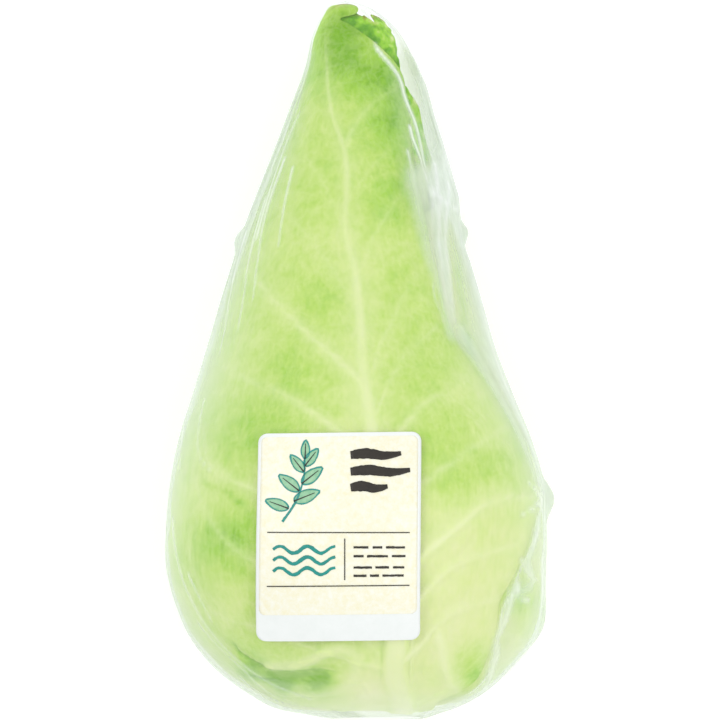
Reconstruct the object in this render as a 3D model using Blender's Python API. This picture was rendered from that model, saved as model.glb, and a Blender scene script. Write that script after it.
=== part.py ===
"""A pointed cabbage lying on its back, in a clear film wrap with a paper label.

The point of the head is at +Y and the cut stalk at -Y. +Z is up, away from the surface.
The origin is on the surface, under the middle of the object.
Every length below is in millimetres and every angle in degrees, until a mesh is made.
"""
import bpy
import numpy as np

MM = 0.001

# The outside of the bare head, from the stalk end to the tip.
# Each row is: y, x of the left side, x of the right side, z of the top, z of the underside.
# An underside below zero is pressed flat where the head rests.
HEAD_STATIONS = (
    (-124.6, 8.0, 8.0, 50.0, 50.0),
    (-123.0, -8.0, 20.0, 64.0, 36.0),
    (-120.0, -27.5, 33.0, 79.0, 23.0),
    (-115.0, -37.0, 42.5, 91.0, 12.5),
    (-107.0, -48.5, 51.5, 101.0, 5.5),
    (-97.0, -57.8, 59.6, 108.0, 1.5),
    (-85.0, -64.0, 63.2, 113.5, -0.8),
    (-72.0, -67.6, 64.2, 116.8, -1.4),
    (-57.0, -67.4, 64.8, 118.0, -1.4),
    (-42.0, -65.4, 64.0, 116.6, -1.4),
    (-27.0, -61.8, 59.4, 112.5, -1.4),
    (-12.0, -56.8, 52.4, 106.0, -1.4),
    (3.0, -52.2, 45.8, 98.0, -1.4),
    (20.0, -47.1, 40.8, 89.0, -0.8),
    (38.0, -41.0, 36.0, 79.0, 1.2),
    (56.0, -34.8, 29.8, 69.0, 4.2),
    (74.0, -28.8, 23.8, 59.0, 8.2),
    (90.0, -23.6, 19.1, 50.5, 12.0),
    (103.0, -18.6, 14.4, 43.6, 15.0),
    (113.0, -16.1, 11.8, 38.0, 17.4),
    (120.0, -12.8, 6.8, 33.6, 19.8),
    (123.4, -10.4, 0.8, 30.6, 22.4),
    (124.6, -5.0, -5.0, 26.5, 26.5),
)
SQUARENESS = 2.15           # exponent of the cross-section; 2 is a plain ellipse
SWELL = 0.7                 # height of the slow waves that every layer shares

# Where a leaf's corner lifts the film: y, angle round the head, height, radius
BUMPS = (
    (-48.0, 0.0, 3.0, 13.0),
    (-91.0, 0.0, 1.4, 14.0),
    (43.5, 0.0, 1.8, 10.0),
    (41.0, 180.0, 1.4, 10.0),
)

# The layers: the film first, then each leaf under the one before it
FILM_OUT = 0.6              # how far the film's outside stands off the bare head
FILM_THICK = 0.5
FILM_HEM = 1.0              # the gathered hem round the stalk stands out this much more
LEAF_START = 1.0            # depth of the outermost leaf's highest ribs
LEAF_GAP = 2.0              # clear space between one leaf and the next
MARGIN_CLEAR = 10.0         # a leaf stays down this far past the margin of the leaf over it,
MARGIN_RAMP = 24.0          # and then rises to the outside over this distance
LEAF_BASE = 16.5            # distance along the skin from the stalk's axis to a leaf's foot
SIDE_RIB_BEND = 1.6         # a side rib leaves the midrib level and then climbs, by this exponent
TOP_SHARE = 0.9             # no side rib climbs past this share of the leaf's length

# The front leaf, seen from above: x and y of its midrib and of its two margins
FRONT_MIDRIB = (
    (12.8, -123.5), (12.6, -112.0), (12.2, -97.0), (9.8, -66.0), (6.4, -40.0), (3.8, -22.2),
    (1.7, -8.3), (0.3, 13.2), (-1.7, 32.3), (-4.8, 48.6), (-4.8, 60.0), (-5.8, 73.3),
    (-9.0, 85.0), (-11.3, 98.3), (-12.3, 112.0),
)
FRONT_RIGHT_MARGIN = (
    (19.0, -123.3), (28.0, -118.5), (38.0, -114.0), (45.0, -104.0), (48.6, -92.7),
    (50.3, -83.3), (55.5, -73.0), (60.8, -59.0), (63.4, -48.0), (59.0, -31.0),
    (50.3, -13.9), (42.0, -1.0), (36.0, 4.5), (31.9, 13.9), (28.5, 27.8), (25.0, 41.7),
    (22.2, 55.5), (20.5, 66.0), (18.4, 80.0), (17.0, 92.0), (15.0, 100.0), (6.9, 108.7),
    (0.0, 115.3), (-6.2, 121.0),
)
FRONT_LEFT_FOLD = (
    (-15.0, -122.8), (-13.0, -120.0), (-8.0, -117.6), (-4.8, -115.2), (-4.4, -112.4), (-6.6, -110.6),
    (-13.0, -109.7), (-20.8, -108.8), (-29.2, -107.3), (-37.1, -104.2), (-42.7, -100.7),
    (-47.9, -96.2), (-52.4, -91.3),
)
# Above the fold the left margin is out of sight behind the head: y and angle
FRONT_LEFT_BEHIND = (
    (-83.0, 172.0), (-73.0, 187.0), (-59.0, 199.0), (-40.0, 207.0), (-15.0, 213.0), (20.0, 218.0),
    (60.0, 225.0), (90.0, 235.0), (110.0, 245.0), (123.0, 250.0),
)

# How far the film stands off the head at its right and left side: y and distance
FILM_SPAN_RIGHT = (
    (40.0, 0.0), (46.0, 1.6), (55.0, 4.6), (66.0, 5.4), (75.0, 5.6), (85.0, 5.0),
    (94.0, 5.2), (103.0, 4.4), (111.0, 2.0), (119.0, 0.4), (124.0, 0.0),
)
FILM_SPAN_LEFT = (
    (-60.0, 0.0), (-20.0, 0.3), (20.0, 0.7), (50.0, 1.0), (75.0, 0.7), (100.0, 0.3), (122.0, 0.0),
)
# The stand-off fades to nothing between these angles from the side
FILM_RIGHT_FADE = (25.0, 75.0)
FILM_LEFT_FADE = (10.0, 70.0)
FILM_FOOT = LEAF_BASE - 1.0  # the film ends this far along the skin from the stalk's axis
FILM_TOP_CLEAR = 2.0        # distance of the film's last ring from the tip of the head
HEM_LENGTH = 10.0           # the gathered hem narrows over this distance

LABEL_CENTRE = (-7.2, -60.8)
LABEL_SEEN = (55.5, 70.6)   # width and length seen from above; 57 by 71 along the curved film
LABEL_CORNER = 3.2
LABEL_THICK = 0.3
LABEL_LIFT = 0.35

STALK_RADIUS = 11.0
STALK_END = -122.0
# The stalk's rings: distance in from its cut end, and share of its radius
STALK_PROFILE = ((0.0, 0.82), (0.8, 0.95), (2.2, 1.0), (9.5, 1.0))

HEART_FOOT = 6.0            # distance from the stalk's axis to the heart's first ring
HEART_LAST_Y = 88.0
HEART_TIP = 97.0
HEART_LEAST_DEPTH = 8.0     # the heart's surface where no loose leaf lies on it
HEART_EDGE = 1.4            # height of the leaf edges on the heart
HEART_EDGES = 3             # leaf edges met on the way round the heart
HEART_EDGE_PITCH = 170.0    # distance along the head from one edge to the next


def curve_through(knots, values, at):
    """Smooth curve through the values, read at one or more places."""
    knots = np.asarray(knots, dtype=float)
    values = np.asarray(values, dtype=float)
    at = np.clip(np.asarray(at, dtype=float), knots[0], knots[-1])
    slopes = np.gradient(values, knots, axis=0)
    low = np.clip(np.searchsorted(knots, at) - 1, 0, len(knots) - 2)
    span = knots[low + 1] - knots[low]
    f = (at - knots[low]) / span
    if values.ndim == 2:
        f = f[..., None]
        span = span[..., None]
    start = (1 + 2 * f) * (1 - f) ** 2 * values[low] + f * (1 - f) ** 2 * span * slopes[low]
    end = f ** 2 * (3 - 2 * f) * values[low + 1] - f ** 2 * (1 - f) * span * slopes[low + 1]
    return start + end


def ease(edge_0, edge_1, value):
    """0 before the first edge, 1 after the second, and a smooth step between."""
    f = np.clip((value - edge_0) / (edge_1 - edge_0), 0.0, 1.0)
    return f * f * (3 - 2 * f)


def run_of_stations():
    """Distance of each station along the head's side, from the stalk's axis."""
    rows = np.array(HEAD_STATIONS)
    radius = (rows[:, 2] - rows[:, 1] + rows[:, 3] - rows[:, 4]) / 4
    steps = np.hypot(np.diff(rows[:, 0]), np.diff(radius))
    return np.concatenate([[0.0], np.cumsum(steps)])


RUN = run_of_stations()
RUN_END = RUN[-1]
FINE_RUN = np.linspace(0.0, RUN_END, 1200)
FINE_Y = np.maximum.accumulate(curve_through(RUN, HEAD_STATIONS, FINE_RUN)[:, 0])


def run_at(y):
    """Distance along the side at which the head reaches this y."""
    return np.interp(y, FINE_Y, FINE_RUN)


def section(run):
    """Centre and half sizes of the cross-section at a distance along the side."""
    rows = curve_through(RUN, HEAD_STATIONS, run)
    y, left, right, top, under = np.moveaxis(rows, -1, 0)
    return y, (left + right) / 2, (right - left) / 2, (top + under) / 2, (top - under) / 2


def angle_seen(x, y):
    """Angle round the head of a point that is seen from above at x, y."""
    _, mid_x, half_x, _, _ = section(run_at(y))
    share = np.clip((x - mid_x) / half_x, -1.0, 1.0)
    cosine = np.sign(share) * np.abs(share) ** (SQUARENESS / 2)
    return np.degrees(np.arccos(cosine))


def bare_head(run, angle):
    """Points of the smooth outline, without waves or bumps."""
    y, mid_x, half_x, mid_z, half_z = section(run)
    cosine = np.cos(np.radians(angle))
    sine = np.sin(np.radians(angle))
    x = mid_x + half_x * np.sign(cosine) * np.abs(cosine) ** (2 / SQUARENESS)
    z = mid_z + half_z * np.sign(sine) * np.abs(sine) ** (2 / SQUARENESS)
    return np.stack([x, y, z], axis=-1)


def outward(run, angle):
    """Unit vectors that point out of the head."""
    low_run = np.clip(run - 0.5, 0.2, RUN_END - 1.2)
    along = bare_head(low_run + 1.0, angle) - bare_head(low_run, angle)
    round_head = bare_head(low_run + 0.5, angle + 0.5) - bare_head(low_run + 0.5, angle - 0.5)
    normal = np.cross(along, round_head)
    return normal / np.linalg.norm(normal, axis=-1, keepdims=True)


def turned(angle):
    """The same angle between -180 and 180."""
    return np.mod(angle + 180.0, 360.0) - 180.0


def degree_at(run):
    """Length of one degree round the head."""
    _, _, half_x, _, half_z = section(run)
    return (half_x + half_z) / 2 * np.pi / 180.0


def swelling(run, angle):
    """Slow waves that every layer of the head shares."""
    turn = np.radians(angle)
    fade = ease(0.0, 40.0, run) * ease(0.0, 50.0, RUN_END - run)
    waves = np.sin(2 * turn + run / 23.0) + 0.6 * np.sin(3 * turn - run / 15.0 + 1.0)
    return SWELL * fade * waves


def layer(run, angle, depth):
    """Points at a depth under the skin of the head, flattened where it rests."""
    run, angle, depth = np.broadcast_arrays(run, angle, depth)
    height = (swelling(run, angle) - depth)[..., None]
    points = bare_head(run, angle) + outward(run, angle) * height
    points[..., 2] = np.maximum(points[..., 2], np.maximum(depth + FILM_OUT, 0.0))
    return points


class Leaf:
    """A leaf of the head: its midrib and margins round the head, its ribs and thickness.

    midrib, right and left are lists of (run, angle). Angles rise from the right margin,
    over the midrib, to the left margin.
    """

    def __init__(self, midrib, right, left, top, sweep, ribs, rib_height, thick):
        self.midrib = self.sorted_curve(midrib)
        self.right = self.sorted_curve(right)
        self.left = self.sorted_curve(left)
        self.top = top                  # run at which the leaf ends
        self.sweep = sweep              # climb of a side rib to the right and to the left margin
        self.ribs = ribs                # y at which each pair of side ribs leaves the midrib
        self.rib_height = rib_height
        self.thick = thick
        self.over = []                  # the leaves that lie over this one

    @staticmethod
    def sorted_curve(points):
        points = sorted(points)
        return [run for run, _ in points], [angle for _, angle in points]

    @property
    def pitch(self):
        """Depth that the leaf takes from the leaves under it."""
        return self.rib_height + self.thick + LEAF_GAP

    def outline(self, step=3.0):
        """Points of both margins and the top, evenly spaced, as run and angle."""
        run = np.linspace(0.0, self.top, 900)
        right = np.stack([run, curve_through(*self.right, run)])
        left = np.stack([run, curve_through(*self.left, run)])
        loop = np.concatenate([right, left[:, ::-1]], axis=1)
        pace = np.hypot(np.diff(loop[0]), np.diff(loop[1]) * degree_at(loop[0, 1:]))
        travelled = np.concatenate([[0.0], np.cumsum(pace)])
        even = np.arange(0.0, travelled[-1], step)
        return np.interp(even, travelled, loop[0]), np.interp(even, travelled, loop[1])

    def covers(self, run, angle):
        """1 under the leaf and just past its margin, falling to 0 away from it."""
        middle = curve_through(*self.midrib, run)
        away = turned(angle - middle)
        inside = away < curve_through(*self.left, run) - middle
        inside &= away > curve_through(*self.right, run) - middle
        inside &= run < self.top
        degree = degree_at(run)
        outside = np.full(np.shape(away), np.inf)
        for edge_run, edge_angle in zip(*self.outline()):
            aside = turned(angle - edge_angle) * degree
            outside = np.minimum(outside, np.hypot(run - edge_run, aside))
        cover = 1 - ease(MARGIN_CLEAR, MARGIN_CLEAR + MARGIN_RAMP, outside)
        return np.where(inside, 1.0, cover)

    def bed(self, run, angle):
        """Depth at which the leaf's ribs may start: under every leaf over it."""
        return LEAF_START + sum(leaf.covers(run, angle) * leaf.pitch for leaf in self.over)

    def place(self, across, along):
        """Run and angle of a spot; across is -1 at the right margin, 1 at the left."""
        sweep = np.where(across < 0, self.sweep[0], self.sweep[1])
        climb = sweep * 4 * along * (1 - along) * (1 - (1 - np.abs(across)) ** SIDE_RIB_BEND)
        run = LEAF_BASE + along * (self.top - LEAF_BASE) + climb
        limit = TOP_SHARE + (1 - TOP_SHARE) * along
        run = np.minimum(run, LEAF_BASE + (self.top - LEAF_BASE) * limit)
        middle = curve_through(*self.midrib, run)
        right = curve_through(*self.right, run)
        left = curve_through(*self.left, run)
        edge = np.where(across < 0, right, left)
        return run, middle + (edge - middle) * np.abs(across)


def along_at(leaf, y):
    """Share of a leaf's length at which its midrib passes this y."""
    return (run_at(y) - LEAF_BASE) / (leaf.top - LEAF_BASE)


def seen(points):
    """(x, y) as seen from above, turned into (run, angle)."""
    return [(float(run_at(y)), float(angle_seen(x, y))) for x, y in points]


def behind(points):
    """(y, angle) turned into (run, angle)."""
    return [(float(run_at(y)), angle) for y, angle in points]


def wrapped_leaves():
    """The loose leaves, outermost first, each with the leaves over it noted."""
    leaves = {}
    leaves["front_leaf"] = Leaf(
        midrib=seen(FRONT_MIDRIB) + behind([(123.0, 152.0)]),
        right=seen(FRONT_RIGHT_MARGIN) + behind([(123.4, 118.0)]),
        left=seen(FRONT_LEFT_FOLD) + behind(FRONT_LEFT_BEHIND),
        top=RUN_END - 1.6, sweep=(26.0, 40.0), rib_height=1.5, thick=1.0,
        ribs=(-104.0, -84.0, -58.0, -30.0, -4.0, 24.0, 50.0, 76.0, 98.0))
    leaves["right_leaf"] = Leaf(
        midrib=behind([(-123.0, -42.0), (-60.0, -47.0), (45.0, -50.0)]),
        right=behind([(-123.0, -100.0), (-100.0, -128.0), (0.0, -135.0), (30.0, -122.0),
                      (42.0, -92.0), (46.0, -60.0)]),
        left=behind([(-123.0, 18.0), (-118.0, 62.0), (-90.0, 76.0), (-20.0, 74.0), (2.0, 66.0),
                     (12.0, 44.0), (26.0, 27.0), (36.0, 15.0), (42.0, 2.0), (46.0, -14.0)]),
        top=run_at(46.0), sweep=(20.0, 20.0), rib_height=1.0, thick=0.9,
        ribs=(-100.0, -72.0, -40.0, -6.0, 24.0))
    leaves["left_leaf"] = Leaf(
        midrib=behind([(-123.0, 178.0), (-60.0, 176.0), (45.0, 178.0)]),
        right=behind([(-123.0, 74.0), (-116.0, 72.0), (-106.0, 80.0), (-60.0, 96.0),
                      (10.0, 110.0), (34.0, 130.0), (44.0, 168.0)]),
        left=behind([(-123.0, 232.0), (-100.0, 262.0), (0.0, 268.0), (30.0, 250.0),
                     (44.0, 188.0)]),
        top=run_at(44.0), sweep=(20.0, 20.0), rib_height=1.0, thick=0.9,
        ribs=(-100.0, -72.0, -40.0, -6.0, 24.0))
    leaves["tip_leaf"] = Leaf(
        midrib=behind([(-123.0, 40.0), (60.0, 46.0), (120.0, 58.0)]),
        right=behind([(-123.0, 8.0), (-100.0, -20.0), (0.0, 20.0), (52.0, 42.0), (62.0, 38.0),
                      (65.5, 20.0), (69.0, 6.0), (74.0, 12.0), (82.0, 12.0), (90.0, 5.0),
                      (96.0, 7.0), (102.0, 4.0), (108.0, 8.0), (114.0, 2.0), (119.0, 12.0),
                      (122.0, 4.0)]),
        left=behind([(-123.0, 74.0), (-100.0, 104.0), (0.0, 116.0), (60.0, 126.0),
                     (122.0, 140.0)]),
        top=RUN_END - 2.6, sweep=(16.0, 16.0), rib_height=0.6, thick=0.8,
        ribs=(-80.0, -30.0, 20.0, 66.0, 96.0))
    leaves["back_leaf"] = Leaf(
        midrib=behind([(-123.0, -100.0), (60.0, -98.0), (118.0, -96.0)]),
        right=behind([(-123.0, -140.0), (-100.0, -176.0), (0.0, -184.0), (118.0, -190.0)]),
        left=behind([(-123.0, -60.0), (-100.0, -24.0), (0.0, -20.0), (60.0, -16.0),
                     (118.0, 2.0)]),
        top=RUN_END - 17.0, sweep=(16.0, 16.0), rib_height=0.6, thick=0.8,
        ribs=(-80.0, -30.0, 20.0, 66.0))
    placed = []
    for leaf in leaves.values():
        leaf.over = list(placed)
        placed.append(leaf)
    return leaves


# Rows near a leaf's foot, where it curves most, as shares of the first row's distance
FOOT_ROWS = (0.35, 0.7, 1.4)
ROW_CLEAR = 0.6             # an even row is left out if a rib is nearer than this share
# A midrib's height at its middle, in its first column and at its tip, and a side rib's height
MIDRIB_MIDDLE = 1.0
MIDRIB_SHOULDER = 0.75
MIDRIB_TIP = 0.35
SIDE_RIB = 0.6


def rib_rows(leaf, spacing, half_width):
    """Shares of the leaf's length for its rows, with one row on each side rib or three."""
    length = leaf.top - LEAF_BASE
    ribs = [along_at(leaf, y) for y in leaf.ribs]
    sides = (-1, 0, 1) if half_width else (0,)
    on_ribs = [rib + side * half_width / length for rib in ribs for side in sides]
    even = np.linspace(0.0, 1.0, int(length / spacing) + 1)
    near = ROW_CLEAR * spacing / length
    between = [share for share in even[1:-1] if min(abs(share - row) for row in on_ribs) > near]
    foot = [share * even[1] for share in FOOT_ROWS]
    return np.array(sorted([0.0, 1.0] + foot + on_ribs + between)), np.array(ribs)


def leaf_solid(leaf, columns, spacing, rib_half):
    """Outer and inner points of a leaf blade with its midrib and side ribs raised."""
    rows, ribs = rib_rows(leaf, spacing, rib_half)
    across = np.concatenate([-np.array(columns[::-1]), [0.0], np.array(columns)])
    across, along = np.meshgrid(across, rows)
    run, angle = leaf.place(across, along)
    profile = (MIDRIB_MIDDLE, MIDRIB_SHOULDER, 0.0)
    midrib = np.interp(np.abs(across), (0.0, columns[0], columns[1]), profile)
    midrib = midrib * np.interp(along, (0.0, 1.0), (MIDRIB_MIDDLE, MIDRIB_TIP))
    on_rib = np.min(np.abs(along[..., None] - ribs), axis=-1) < 1e-6
    side = np.where(on_rib, SIDE_RIB * np.sqrt(1 - np.abs(across)), 0.0)
    relief = leaf.rib_height * np.maximum(midrib, side)
    bed = leaf.bed(run, angle) + leaf.rib_height
    return layer(run, angle, bed - relief), layer(run, angle, bed + leaf.thick)


def grid_faces(rows, columns, first, flip, falling):
    """Triangles of a grid of points; falling says which way each square is split."""
    faces = []
    for r in range(rows - 1):
        for c in range(columns - 1):
            a = first + r * columns + c
            b, d, e = a + 1, a + columns, a + columns + 1
            pair = ((a, b, d), (b, e, d)) if falling[r, c] else ((a, b, e), (a, e, d))
            faces += [tri[::-1] for tri in pair] if flip else list(pair)
    return faces


def blade_faces(outer):
    """Closed solid from two grids of points, one after the other, and a rim."""
    rows, columns = outer.shape[:2]
    count = rows * columns
    rising = np.linalg.norm(outer[1:, 1:] - outer[:-1, :-1], axis=-1)
    falling = np.linalg.norm(outer[1:, :-1] - outer[:-1, 1:], axis=-1) < rising
    faces = grid_faces(rows, columns, 0, False, falling)
    faces += grid_faces(rows, columns, count, True, falling)
    loop = list(range(columns))
    loop += [r * columns + columns - 1 for r in range(1, rows)]
    loop += [(rows - 1) * columns + c for c in range(columns - 2, -1, -1)]
    loop += [r * columns for r in range(rows - 2, 0, -1)]
    for here, there in zip(loop, loop[1:] + loop[:1]):
        faces += [(there, here, here + count), (there, here + count, there + count)]
    return faces


def ring_faces(rings, sides, first, flip):
    """Triangles between rings of points, each ring closed on itself."""
    faces = []
    for r in range(rings - 1):
        for c in range(sides):
            a = first + r * sides + c
            b = first + r * sides + (c + 1) % sides
            d, e = a + sides, b + sides
            pair = ((a, b, e), (a, e, d))
            faces += [tri[::-1] for tri in pair] if flip else list(pair)
    return faces


def fan_faces(ring_first, sides, pole, flip):
    """Triangles from a ring of points to one pole."""
    faces = []
    for c in range(sides):
        tri = (ring_first + c, ring_first + (c + 1) % sides, pole)
        faces.append(tri[::-1] if flip else tri)
    return faces


def material(name, colour, roughness, alpha=1.0):
    """Principled material of one flat colour."""
    made = bpy.data.materials.new(name)
    made.use_nodes = True
    shader = made.node_tree.nodes["Principled BSDF"]
    shader.inputs["Base Color"].default_value = (*colour, 1.0)
    shader.inputs["Roughness"].default_value = roughness
    shader.inputs["Metallic"].default_value = 0.0
    shader.inputs["Alpha"].default_value = alpha
    return made


def add_object(name, points, faces, finish):
    """Object from points in millimetres."""
    mesh = bpy.data.meshes.new(name)
    mesh.from_pydata([tuple(point) for point in np.asarray(points) * MM], [], faces)
    mesh.materials.append(finish)
    mesh.validate()
    made = bpy.data.objects.new(name, mesh)
    bpy.context.collection.objects.link(made)
    mesh.shade_smooth()
    return made


def face_outward(made):
    """Turn the whole mesh over if its faces point in."""
    mesh = made.data
    volume = 0.0
    for face in mesh.polygons:
        a, b, c = (mesh.vertices[i].co for i in face.vertices)
        volume += a.dot(b.cross(c))
    if volume < 0:
        mesh.flip_normals()


def add_blade(name, outer, inner, finish):
    """Object from an outer and an inner grid of points."""
    points = np.concatenate([outer.reshape(-1, 3), inner.reshape(-1, 3)])
    made = add_object(name, points, blade_faces(outer), finish)
    face_outward(made)
    return made


def film_span(run, angle):
    """Distance that the film stands off the head, over hollows and beside the tip."""
    y = section(run)[0]
    from_right = np.abs(turned(angle))
    right = np.interp(y, *zip(*FILM_SPAN_RIGHT)) * (1 - ease(*FILM_RIGHT_FADE, from_right))
    left = np.interp(y, *zip(*FILM_SPAN_LEFT)) * (1 - ease(*FILM_LEFT_FADE, 180.0 - from_right))
    hem = FILM_HEM * (1 - ease(FILM_FOOT, FILM_FOOT + HEM_LENGTH, run))
    span = FILM_OUT + right + left + hem
    for bump_y, bump_angle, height, radius in BUMPS:
        aside = turned(angle - bump_angle) * degree_at(run)
        span = span + height * (1 - ease(0.0, radius, np.hypot(aside, run - run_at(bump_y))))
    return span


def add_film(sides=36, rings=24):
    """The wrap: a thin bag that follows the head, open round the stalk's cut end."""
    run = np.linspace(FILM_FOOT, RUN_END - FILM_TOP_CLEAR, rings)[:, None]
    angle = np.linspace(0.0, 360.0, sides, endpoint=False)[None, :]
    span = film_span(*np.broadcast_arrays(run, angle))
    outer = layer(run, angle, -span).reshape(-1, 3)
    inner = layer(run, angle, FILM_THICK - span).reshape(-1, 3)
    tip = bare_head(np.array(RUN_END), np.array(0.0))
    count = rings * sides
    points = np.concatenate([outer, inner, [tip + (0.0, FILM_OUT, 0.0)],
                             [tip + (0.0, FILM_OUT - FILM_THICK, 0.0)]])
    faces = ring_faces(rings, sides, 0, False) + ring_faces(rings, sides, count, True)
    faces += fan_faces(count - sides, sides, 2 * count, False)
    faces += fan_faces(2 * count - sides, sides, 2 * count + 1, True)
    for c in range(sides):
        here, there = c, (c + 1) % sides
        faces += [(there, here, here + count), (there, here + count, there + count)]
    finish = material("clear_film", (0.86, 0.93, 0.88), 0.12, alpha=0.25)
    face_outward(add_object("film_wrap", points, faces, finish))


def heart_depth(leaves, run, angle):
    """Depth of the heart's surface: it fills the room under the loose leaves."""
    room = LEAF_START + sum(leaf.covers(run, angle) * leaf.pitch for leaf in leaves.values())
    turns = (angle / 360.0 * HEART_EDGES + run / HEART_EDGE_PITCH) % 1.0
    edges = HEART_EDGE * turns * ease(HEART_FOOT, 40.0, run)
    return np.maximum(room, HEART_LEAST_DEPTH) + edges


def add_heart(leaves, sides=30, rings=24):
    """The dense inner leaves as one body, with their overlapping edges raised on it."""
    run = np.linspace(HEART_FOOT, run_at(HEART_LAST_Y), rings)[:, None]
    angle = np.linspace(0.0, 360.0, sides, endpoint=False)[None, :]
    run, angle = np.broadcast_arrays(run, angle)
    depth = heart_depth(leaves, run, angle)
    shell = layer(run, angle, depth).reshape(-1, 3)
    foot = bare_head(np.array(0.0), np.array(0.0)) + (0.0, depth[0].max(), 0.0)
    last_ring = shell[-sides:].mean(axis=0)
    tip = np.array([last_ring[0], HEART_TIP, last_ring[2]])
    count = rings * sides
    points = np.concatenate([shell, [foot, tip]])
    faces = ring_faces(rings, sides, 0, False)
    faces += fan_faces(0, sides, count, True)
    faces += fan_faces(count - sides, sides, count + 1, False)
    finish = material("pale_heart_leaf", (0.72, 0.80, 0.42), 0.6)
    face_outward(add_object("heart", points, faces, finish))


def add_stalk(sides=24):
    """Cut end of the stalk, with a rounded rim."""
    centre = bare_head(np.array(0.0), np.array(0.0))
    turn = np.linspace(0.0, 2 * np.pi, sides, endpoint=False)
    lobes = 1 + 0.035 * np.sin(3 * turn + 0.4) + 0.02 * np.sin(5 * turn)
    rings = []
    for inward, share in STALK_PROFILE:
        radius = STALK_RADIUS * share * lobes
        ring = np.stack([centre[0] + radius * np.cos(turn),
                         np.full(sides, STALK_END + inward),
                         centre[2] + radius * np.sin(turn)], axis=-1)
        rings.append(ring)
    count = len(STALK_PROFILE) * sides
    inner_end = STALK_END + STALK_PROFILE[-1][0]
    ends = [(centre[0], STALK_END, centre[2]), (centre[0], inner_end, centre[2])]
    points = np.concatenate(rings + [np.array(ends)])
    faces = ring_faces(len(STALK_PROFILE), sides, 0, False)
    faces += fan_faces(0, sides, count, True)
    faces += fan_faces(count - sides, sides, count + 1, False)
    finish = material("cut_stalk", (0.80, 0.82, 0.55), 0.7)
    face_outward(add_object("stalk", points, faces, finish))


def add_label(columns=13, rows=15):
    """Paper label that follows the film, with rounded corners."""
    width, length = LABEL_SEEN
    corner = LABEL_CORNER
    ends = np.array([0.0, 0.3, 1.0]) * corner
    middle = np.linspace(corner, length - corner, rows - 2 * len(ends) + 2)[1:-1]
    from_end = np.concatenate([ends, middle, length - ends[::-1]])
    into_corner = corner - np.minimum(np.minimum(from_end, length - from_end), corner)
    half = width / 2 - corner + np.sqrt(corner ** 2 - into_corner ** 2)
    x = LABEL_CENTRE[0] + half[:, None] * np.linspace(1.0, -1.0, columns)[None, :]
    y = np.broadcast_to((LABEL_CENTRE[1] - length / 2 + from_end)[:, None], x.shape)
    run, angle = run_at(y), angle_seen(x, y)
    under = film_span(run, angle) + LABEL_LIFT
    outer = layer(run, angle, -under - LABEL_THICK)
    inner = layer(run, angle, -under)
    add_blade("label", outer, inner, material("label_paper", (0.90, 0.86, 0.66), 0.55))


def clear_scene():
    for old in list(bpy.data.objects):
        bpy.data.objects.remove(old, do_unlink=True)


# Columns of a leaf's grid from its midrib, at 0, to its margin, at 1
FRONT_COLUMNS = (0.035, 0.08, 0.15, 0.24, 0.34, 0.45, 0.56, 0.67, 0.78, 0.89, 1.0)
OUTER_COLUMNS = (0.045, 0.10, 0.19, 0.30, 0.41, 0.52, 0.63, 0.74, 0.84, 0.92, 1.0)
INNER_COLUMNS = (0.05, 0.13, 0.26, 0.41, 0.56, 0.71, 0.86, 1.0)
LEAF_COLOURS = {
    "front_leaf": (0.50, 0.72, 0.22),
    "right_leaf": (0.62, 0.78, 0.36),
    "left_leaf": (0.36, 0.60, 0.10),
    "tip_leaf": (0.22, 0.48, 0.08),
    "back_leaf": (0.50, 0.70, 0.26),
}


def main():
    clear_scene()
    leaves = wrapped_leaves()
    for name, leaf in leaves.items():
        if name == "front_leaf":
            outer, inner = leaf_solid(leaf, FRONT_COLUMNS, spacing=9.0, rib_half=3.0)
        elif name in ("right_leaf", "left_leaf"):
            outer, inner = leaf_solid(leaf, OUTER_COLUMNS, spacing=10.0, rib_half=0.0)
        else:
            outer, inner = leaf_solid(leaf, INNER_COLUMNS, spacing=13.0, rib_half=0.0)
        add_blade(name, outer, inner, material(name + "_green", LEAF_COLOURS[name], 0.5))
    add_heart(leaves)
    add_stalk()
    add_film()
    add_label()


main()
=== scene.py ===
# %% [markdown]
# # A pointed cabbage in a clear film wrap
#
# A pointed cabbage is a cone of leaves. Each leaf grows from the stalk, wraps round the ones
# inside it and ends near the point. Here the head lies on its back, so we look down on its
# front leaf. This lesson starts from plain solids of the right size, and gives each leaf,
# the film and the label a fine surface and a finish.

# %% Load the plain solids
import math

import bpy
import numpy as np
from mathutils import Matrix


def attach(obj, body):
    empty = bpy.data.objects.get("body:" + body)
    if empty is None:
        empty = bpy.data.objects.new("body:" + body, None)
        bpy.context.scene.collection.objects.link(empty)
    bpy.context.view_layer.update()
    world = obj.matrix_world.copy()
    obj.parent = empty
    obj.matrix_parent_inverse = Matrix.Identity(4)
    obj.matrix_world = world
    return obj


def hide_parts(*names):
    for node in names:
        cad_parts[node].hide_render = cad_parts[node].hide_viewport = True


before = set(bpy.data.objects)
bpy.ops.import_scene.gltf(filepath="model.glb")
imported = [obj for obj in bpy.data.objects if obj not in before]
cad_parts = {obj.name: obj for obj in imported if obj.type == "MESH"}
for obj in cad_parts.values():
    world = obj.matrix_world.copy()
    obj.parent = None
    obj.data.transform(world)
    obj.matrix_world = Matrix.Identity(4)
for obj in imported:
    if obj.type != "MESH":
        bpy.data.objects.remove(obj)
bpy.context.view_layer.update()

MM = 0.001
print("solids:", ", ".join(sorted(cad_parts)))

# %% [markdown]
# ## The outline of the head
#
# Everything in a cabbage follows one outline. We write it down once, as a short list of
# cross-sections from the stalk to the tip, and let a smooth curve run through them. A place
# on the head is then two numbers: `run`, the distance along the side from the stalk, and
# `angle`, the turn round the head. Angle 0 is the right side, 90 the top, 180 the left side.

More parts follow.
